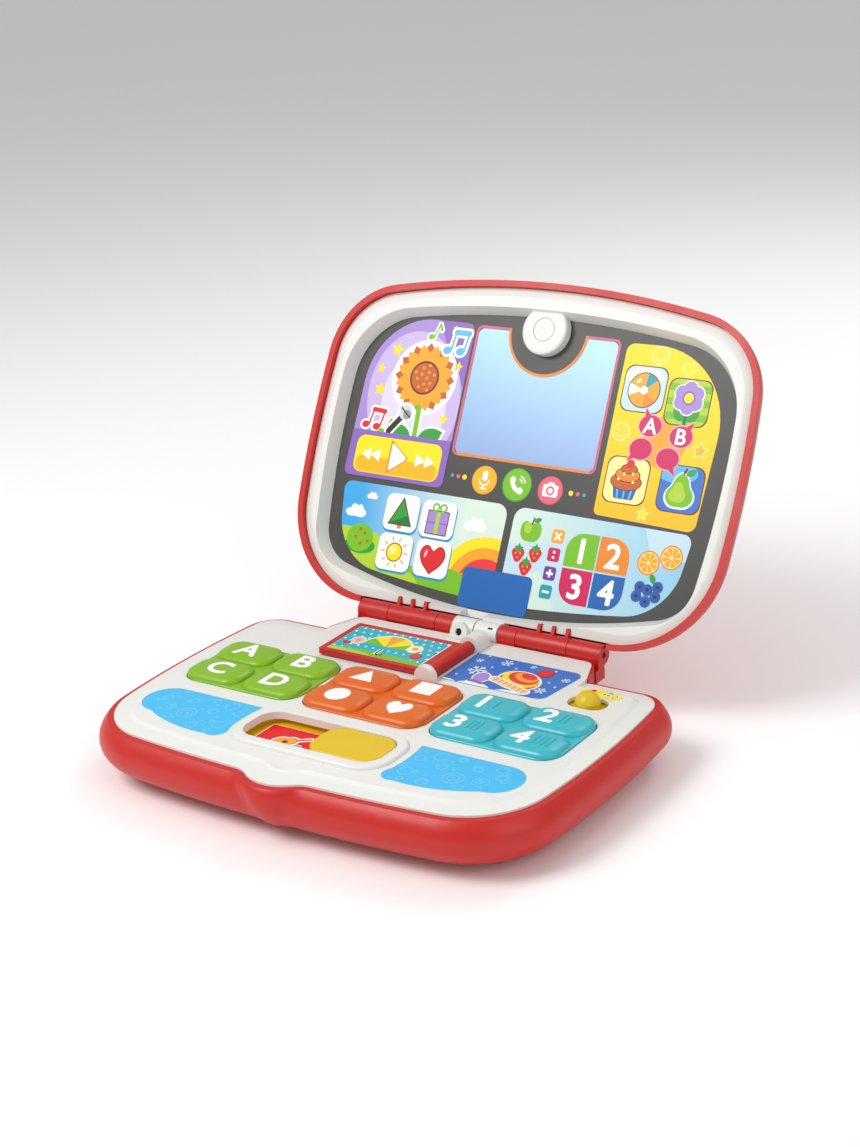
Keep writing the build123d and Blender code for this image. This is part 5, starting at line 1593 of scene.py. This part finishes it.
class Legends:
    """Makers of the white legends on the pads."""

    @staticmethod
    def letter(sign: str, shift: float = 0.0, lines: bool = False) -> Legend:
        """A bold letter or digit, with moulded lines beside it where lines is set.

        Args:
            sign: The letter or digit.
            shift: How far it stands from the cushion's middle.
            lines: Whether moulded lines stand beside it, one for each unit of the digit.

        Returns:
            The function that prints the legend on a cushion.
        """
        def draw(sheet: InkSheet, middle: Point) -> None:
            """Print this letter or digit on a cushion.

            Args:
                sheet: The sheet to print on.
                middle: The cushion's middle.
            """
            spot = (middle[0] + shift, middle[1])
            sheet.text(Ink.WHITE, 2, sign, spot, 13.2, bold=0.045, wide=1.12)
            for step in range(int(sign) if lines else 0):
                x = middle[0] + 2.6 + 2.9 * step
                low, high = (x, middle[1] - 4.4), (x, middle[1] + 4.4)
                sheet.stroke(Finishes.TEAL, 14, [low, high], 1.0)
        return draw

    @staticmethod
    def triangle(sheet: InkSheet, middle: Point) -> None:
        """A triangle."""
        x, y = middle
        sheet.polygon(Ink.WHITE, 2, [(x - 7.4, y - 6.2), (x + 7.4, y - 6.2), (x, y + 6.6)], 0.4)

    @staticmethod
    def square(sheet: InkSheet, middle: Point) -> None:
        """A square."""
        x, y = middle
        sheet.box(Ink.WHITE, 2, (x - 6.7, y - 6.7), (x + 6.7, y + 6.7), 0.4)

    @staticmethod
    def circle(sheet: InkSheet, middle: Point) -> None:
        """A disc."""
        sheet.disc(Ink.WHITE, 2, middle, 7.2)

    @staticmethod
    def heart(sheet: InkSheet, middle: Point) -> None:
        """A heart."""
        Motifs.heart(sheet, Ink.WHITE, 2, middle, 7.6)


@dataclass
class PictureSlider:
    """The slider's two pictures."""

    places: Places

    def build(self) -> None:
        """Print both pictures; the left one shows at rest."""
        ground = PrintedFilm("ink_poster_red", "E3121E")
        for name, low, high in (("left", -40.0, 0.0), ("right", 1.2, 40.0)):
            sheet = InkSheet(f"slider_print_{name}", self.places.deck(-4.8), "base")
            sheet.box(ground, 1, (low, -66.2), (high, -39.8), 0.4)
            x = (low + high) / 2
            if name == "left":
                self.guitar(sheet, (x, -53))
            else:
                Motifs.sunflower(sheet, 3, (x, -50.5), 5.2)
            sheet.finish()

    @staticmethod
    def guitar(sheet: InkSheet, middle: Point) -> None:
        """A small guitar with two notes.

        Args:
            sheet: The sheet to print on.
            middle: The guitar's middle.
        """
        x, y = middle
        sheet.stroke(Ink.WHITE, 2, [(x + 1, y + 0.5), (x + 9.5, y + 6.5)], 3.8)
        sheet.disc(Ink.WHITE, 2, (x - 3.6, y - 2.6), 6.4)
        sheet.disc(Ink.WHITE, 2, (x + 0.6, y + 0.4), 5.1)
        sheet.stroke(Ink.RUST, 3, [(x + 1, y + 0.5), (x + 9.5, y + 6.5)], 1.7)
        sheet.disc(Ink.RUST, 3, (x - 3.6, y - 2.6), 5.2)
        sheet.disc(Ink.RUST, 3, (x + 0.6, y + 0.4), 3.9)
        sheet.disc(Ink.GOLD, 4, (x - 3.6, y - 2.6), 4.5)
        sheet.disc(Ink.GOLD, 4, (x + 0.6, y + 0.4), 3.2)
        sheet.disc(Ink.BROWN_LINE, 5, (x - 1.8, y - 1.3), 1.6)
        sheet.disc(Ink.TEAL, 5, (x - 5.0, y - 6.0), 2.3)
        Motifs.note(sheet, Ink.VIOLET, 5, (x + 4.0, y - 6.2), 4.4)


@dataclass
class SwitchPrint:
    """The arched sticker behind the mode switch."""

    places: Places

    def build(self) -> None:
        """Print a red dot and blue notes."""
        sheet = InkSheet("switch_print", self.places.deck(-0.1), "base")
        sheet.disc(Ink.RED, 1, (97.2, 61.4), 1.5)
        Motifs.note(sheet, Ink.BLUE, 1, (104.5, 59.4), 3.6)
        Motifs.note(sheet, Ink.BLUE, 1, (110.6, 57.6), 3.0, pair=False)
        sheet.finish()


@dataclass
class HingeDetails:
    """Painted shade in the screw bore of the white post and in the slot of its neighbour."""

    places: Places
    bore_at: tuple[float, float, float] = (-8.0, -5.8, 0.0)
    bore_tilt: float = 68.0
    bore_up: float = 2.6
    bore_radius: float = 2.15
    slot_x: float = 10.4
    slot_turn: float = 48.0
    knuckle_radius: float = 6.3

    def build(self) -> None:
        """Model both spots of painted shade as near-black prints."""
        spot = Matrix.Translation(self.places.hinge + Vector(self.bore_at) * MM)
        turned = spot @ Matrix.Rotation(radians(self.bore_tilt), 4, "X") @ Matrix.Scale(MM, 4)
        # Painted shade: a near-black disc sunk into the bore stands in for the shade inside it.
        bore = InkSheet("post_bore_painted_shade", turned @ Matrix.Translation((0, 0, self.bore_up)), "base", "white_cover")
        bore.disc(Finishes.SHADE, 1, (0, 0), self.bore_radius)
        bore.finish()
        away = Matrix.Rotation(radians(90 - self.slot_turn), 4, "X")
        reach = Vector((self.slot_x, 0, 0)) + away @ Vector((0, 0, self.knuckle_radius))
        turned = Matrix.Translation(self.places.hinge + reach * MM) @ away @ Matrix.Scale(MM, 4)
        # Painted shade: a near-black patch on the knuckle stands in for the shade inside its slot.
        slot = InkSheet("knuckle_slot_painted_shade", turned, "lid", "white_frame", sink_mm=0.3)
        slot.box(Finishes.SHADE, 1, (-1.5, -0.6), (1.5, 0.6), 0.3)
        slot.finish()


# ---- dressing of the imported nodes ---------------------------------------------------
NODE_FINISHES: dict[str, Finish] = {
    "base_shell": Finishes.RED, "battery_door": Finishes.RED, "lid_shell": Finishes.RED,
    "page_frame": Finishes.RED, "deck_cover": Finishes.WHITE, "lid_frame": Finishes.WHITE,
    "lid_boss_cap": Finishes.WHITE, "mirror_backing": Finishes.BLACK, "slider_tray": Finishes.YELLOW,
    "slider_thumb": Finishes.YELLOW_DOTS, "switch_knob": Finishes.YELLOW_DOTS, "screen_panel": Finishes.CARD,
    "mirror_plate": Finishes.MIRROR, "lid_tab": Ink.BLUE.film(), "slider_label_left": Finishes.FILM,
    "slider_label_right": Finishes.FILM, "page_picture_top": Finishes.FILM,
    "page_picture_under": Ink.LEAF.film(), "switch_label": Ink.YELLOW.film(),
    "winter_label": Ink.WINTER.film(),
    "wrist_label_left": Ink.BUBBLE.film(), "wrist_label_right": Ink.BUBBLE.film(),
    "letter_domes": Finishes.SILICONE, "shape_domes": Finishes.SILICONE, "number_domes": Finishes.SILICONE,
    "feet": Finishes.RUBBER, "circuit_board": Finishes.BOARD, "switch_body": Finishes.BLACK,
    "battery_cells": Finishes.CELL, "battery_contacts": Finishes.STEEL, "battery_door_screw": Finishes.STEEL,
    "case_screws": Finishes.STEEL, "lid_screws": Finishes.STEEL, "page_pin": Finishes.STEEL,
    "hinge_pin_left": Finishes.STEEL, "hinge_pin_right": Finishes.STEEL, "speaker_driver": Finishes.BLACK,
    "speaker_clamp": Finishes.BLACK,
}


def dress_frame() -> None:
    """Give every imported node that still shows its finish."""
    for name, finish in NODE_FINISHES.items():
        mesh = frame["nodes"][name].data
        mesh.materials.clear()
        mesh.materials.append(finish.material())
        log.info("%s is %s", name, finish.name)


@dataclass
class Studio:
    """Pale floor, soft lights and the camera."""

    places: Places
    camera_from: tuple[float, float, float] = (635.2, -821.7, 475.7)
    azimuth: float = 35.91
    elevation: float = 21.31
    roll: float = -4.32
    lens: float = 67.03
    surroundings: float = 0.5
    floor_size: float = 4.0
    aim: tuple[float, float, float] = (0.0, 0.0, 0.08)

    def build(self) -> None:
        """Set up the whole studio."""
        bpy.context.scene.view_settings.view_transform = "Standard"
        self.floor()
        self.world()
        self.light("key", (-0.55, -0.75, 1.15), 0.7, 11.5)
        self.light("fill", (1.1, -0.35, 0.7), 0.9, 3.0)
        self.light("rim", (0.1, 1.0, 0.95), 0.7, 4.5)
        self.camera()

    def floor(self) -> None:
        """A plain white paper floor."""
        part = bmesh.new()
        bmesh.ops.create_grid(part, x_segments=1, y_segments=1, size=self.floor_size)
        mesh = bpy.data.meshes.new("floor")
        part.to_mesh(mesh)
        part.free()
        floor = bpy.data.objects.new("floor", mesh)
        bpy.context.scene.collection.objects.link(floor)
        mesh.materials.append(MattPaper("matt_paper_white", "FDFDFD").material())

    def world(self) -> None:
        """Even white surroundings."""
        world = bpy.data.worlds.new("studio")
        bpy.context.scene.world = world
        world.use_nodes = True
        world.node_tree.nodes["Background"].inputs["Color"].default_value = (1, 1, 1, 1)
        world.node_tree.nodes["Background"].inputs["Strength"].default_value = self.surroundings

    def light(self, name: str, spot: tuple[float, float, float], size: float, power: float) -> None:
        """A square soft box aimed at the toy.

        Args:
            name: Its name.
            spot: Where it hangs, in metres.
            size: Length of its side in metres.
            power: Its power in watts.
        """
        data = bpy.data.lights.new(name, "AREA")
        data.shape, data.size, data.energy = "SQUARE", size, power
        lamp = bpy.data.objects.new(name, data)
        bpy.context.scene.collection.objects.link(lamp)
        lamp.location = spot
        lamp.rotation_euler = (Vector(self.aim) - Vector(spot)).to_track_quat("-Z", "Y").to_euler()

    def camera(self) -> None:
        """The camera at the reference viewing angle."""
        az, el, roll = (radians(v) for v in (self.azimuth, self.elevation, self.roll))
        back = Vector((sin(az) * cos(el), -cos(az) * cos(el), sin(el)))
        right = Vector((cos(az), sin(az), 0))
        up = back.cross(right)
        across = right * cos(roll) + up * sin(roll)
        upright = up * cos(roll) - right * sin(roll)
        data = bpy.data.cameras.new("camera")
        data.lens, data.sensor_width, data.sensor_fit = self.lens, 36.0, "AUTO"
        data.clip_start, data.clip_end = 0.05, 20.0
        camera = bpy.data.objects.new("camera", data)
        bpy.context.scene.collection.objects.link(camera)
        turn = Matrix((across, upright, back)).transposed().to_4x4()
        spot = self.places.deck_origin + Vector(self.camera_from) * MM
        camera.matrix_world = Matrix.Translation(spot) @ turn
        bpy.context.scene.camera = camera


def main() -> None:
    """Build every sub-assembly in order."""
    logging.basicConfig(level=logging.INFO, format="%(name)s: %(message)s")
    places = Places()
    dress_frame()
    LidCard(places).build()
    WristStickers(places).build()
    FlipPagePrint(places).build()
    WinterPrint(places).build()
    SwitchPrint(places).build()
    PictureSlider(places).build()
    HingeDetails(places).build()
    letter = Legends.letter
    CushionPad(places, "letter", Finishes.GREEN, tuple(letter(c) for c in "ABCD"), "green_pad").build()
    CushionPad(places, "shape", Finishes.ORANGE,
               (Legends.triangle, Legends.square, Legends.circle, Legends.heart), "orange_pad").build()
    CushionPad(places, "number", Finishes.TEAL, tuple(letter(c, -6.0, True) for c in "1234"),
               "teal_pad").build()
    Studio(places).build()


if __name__ == "__main__":
    main()
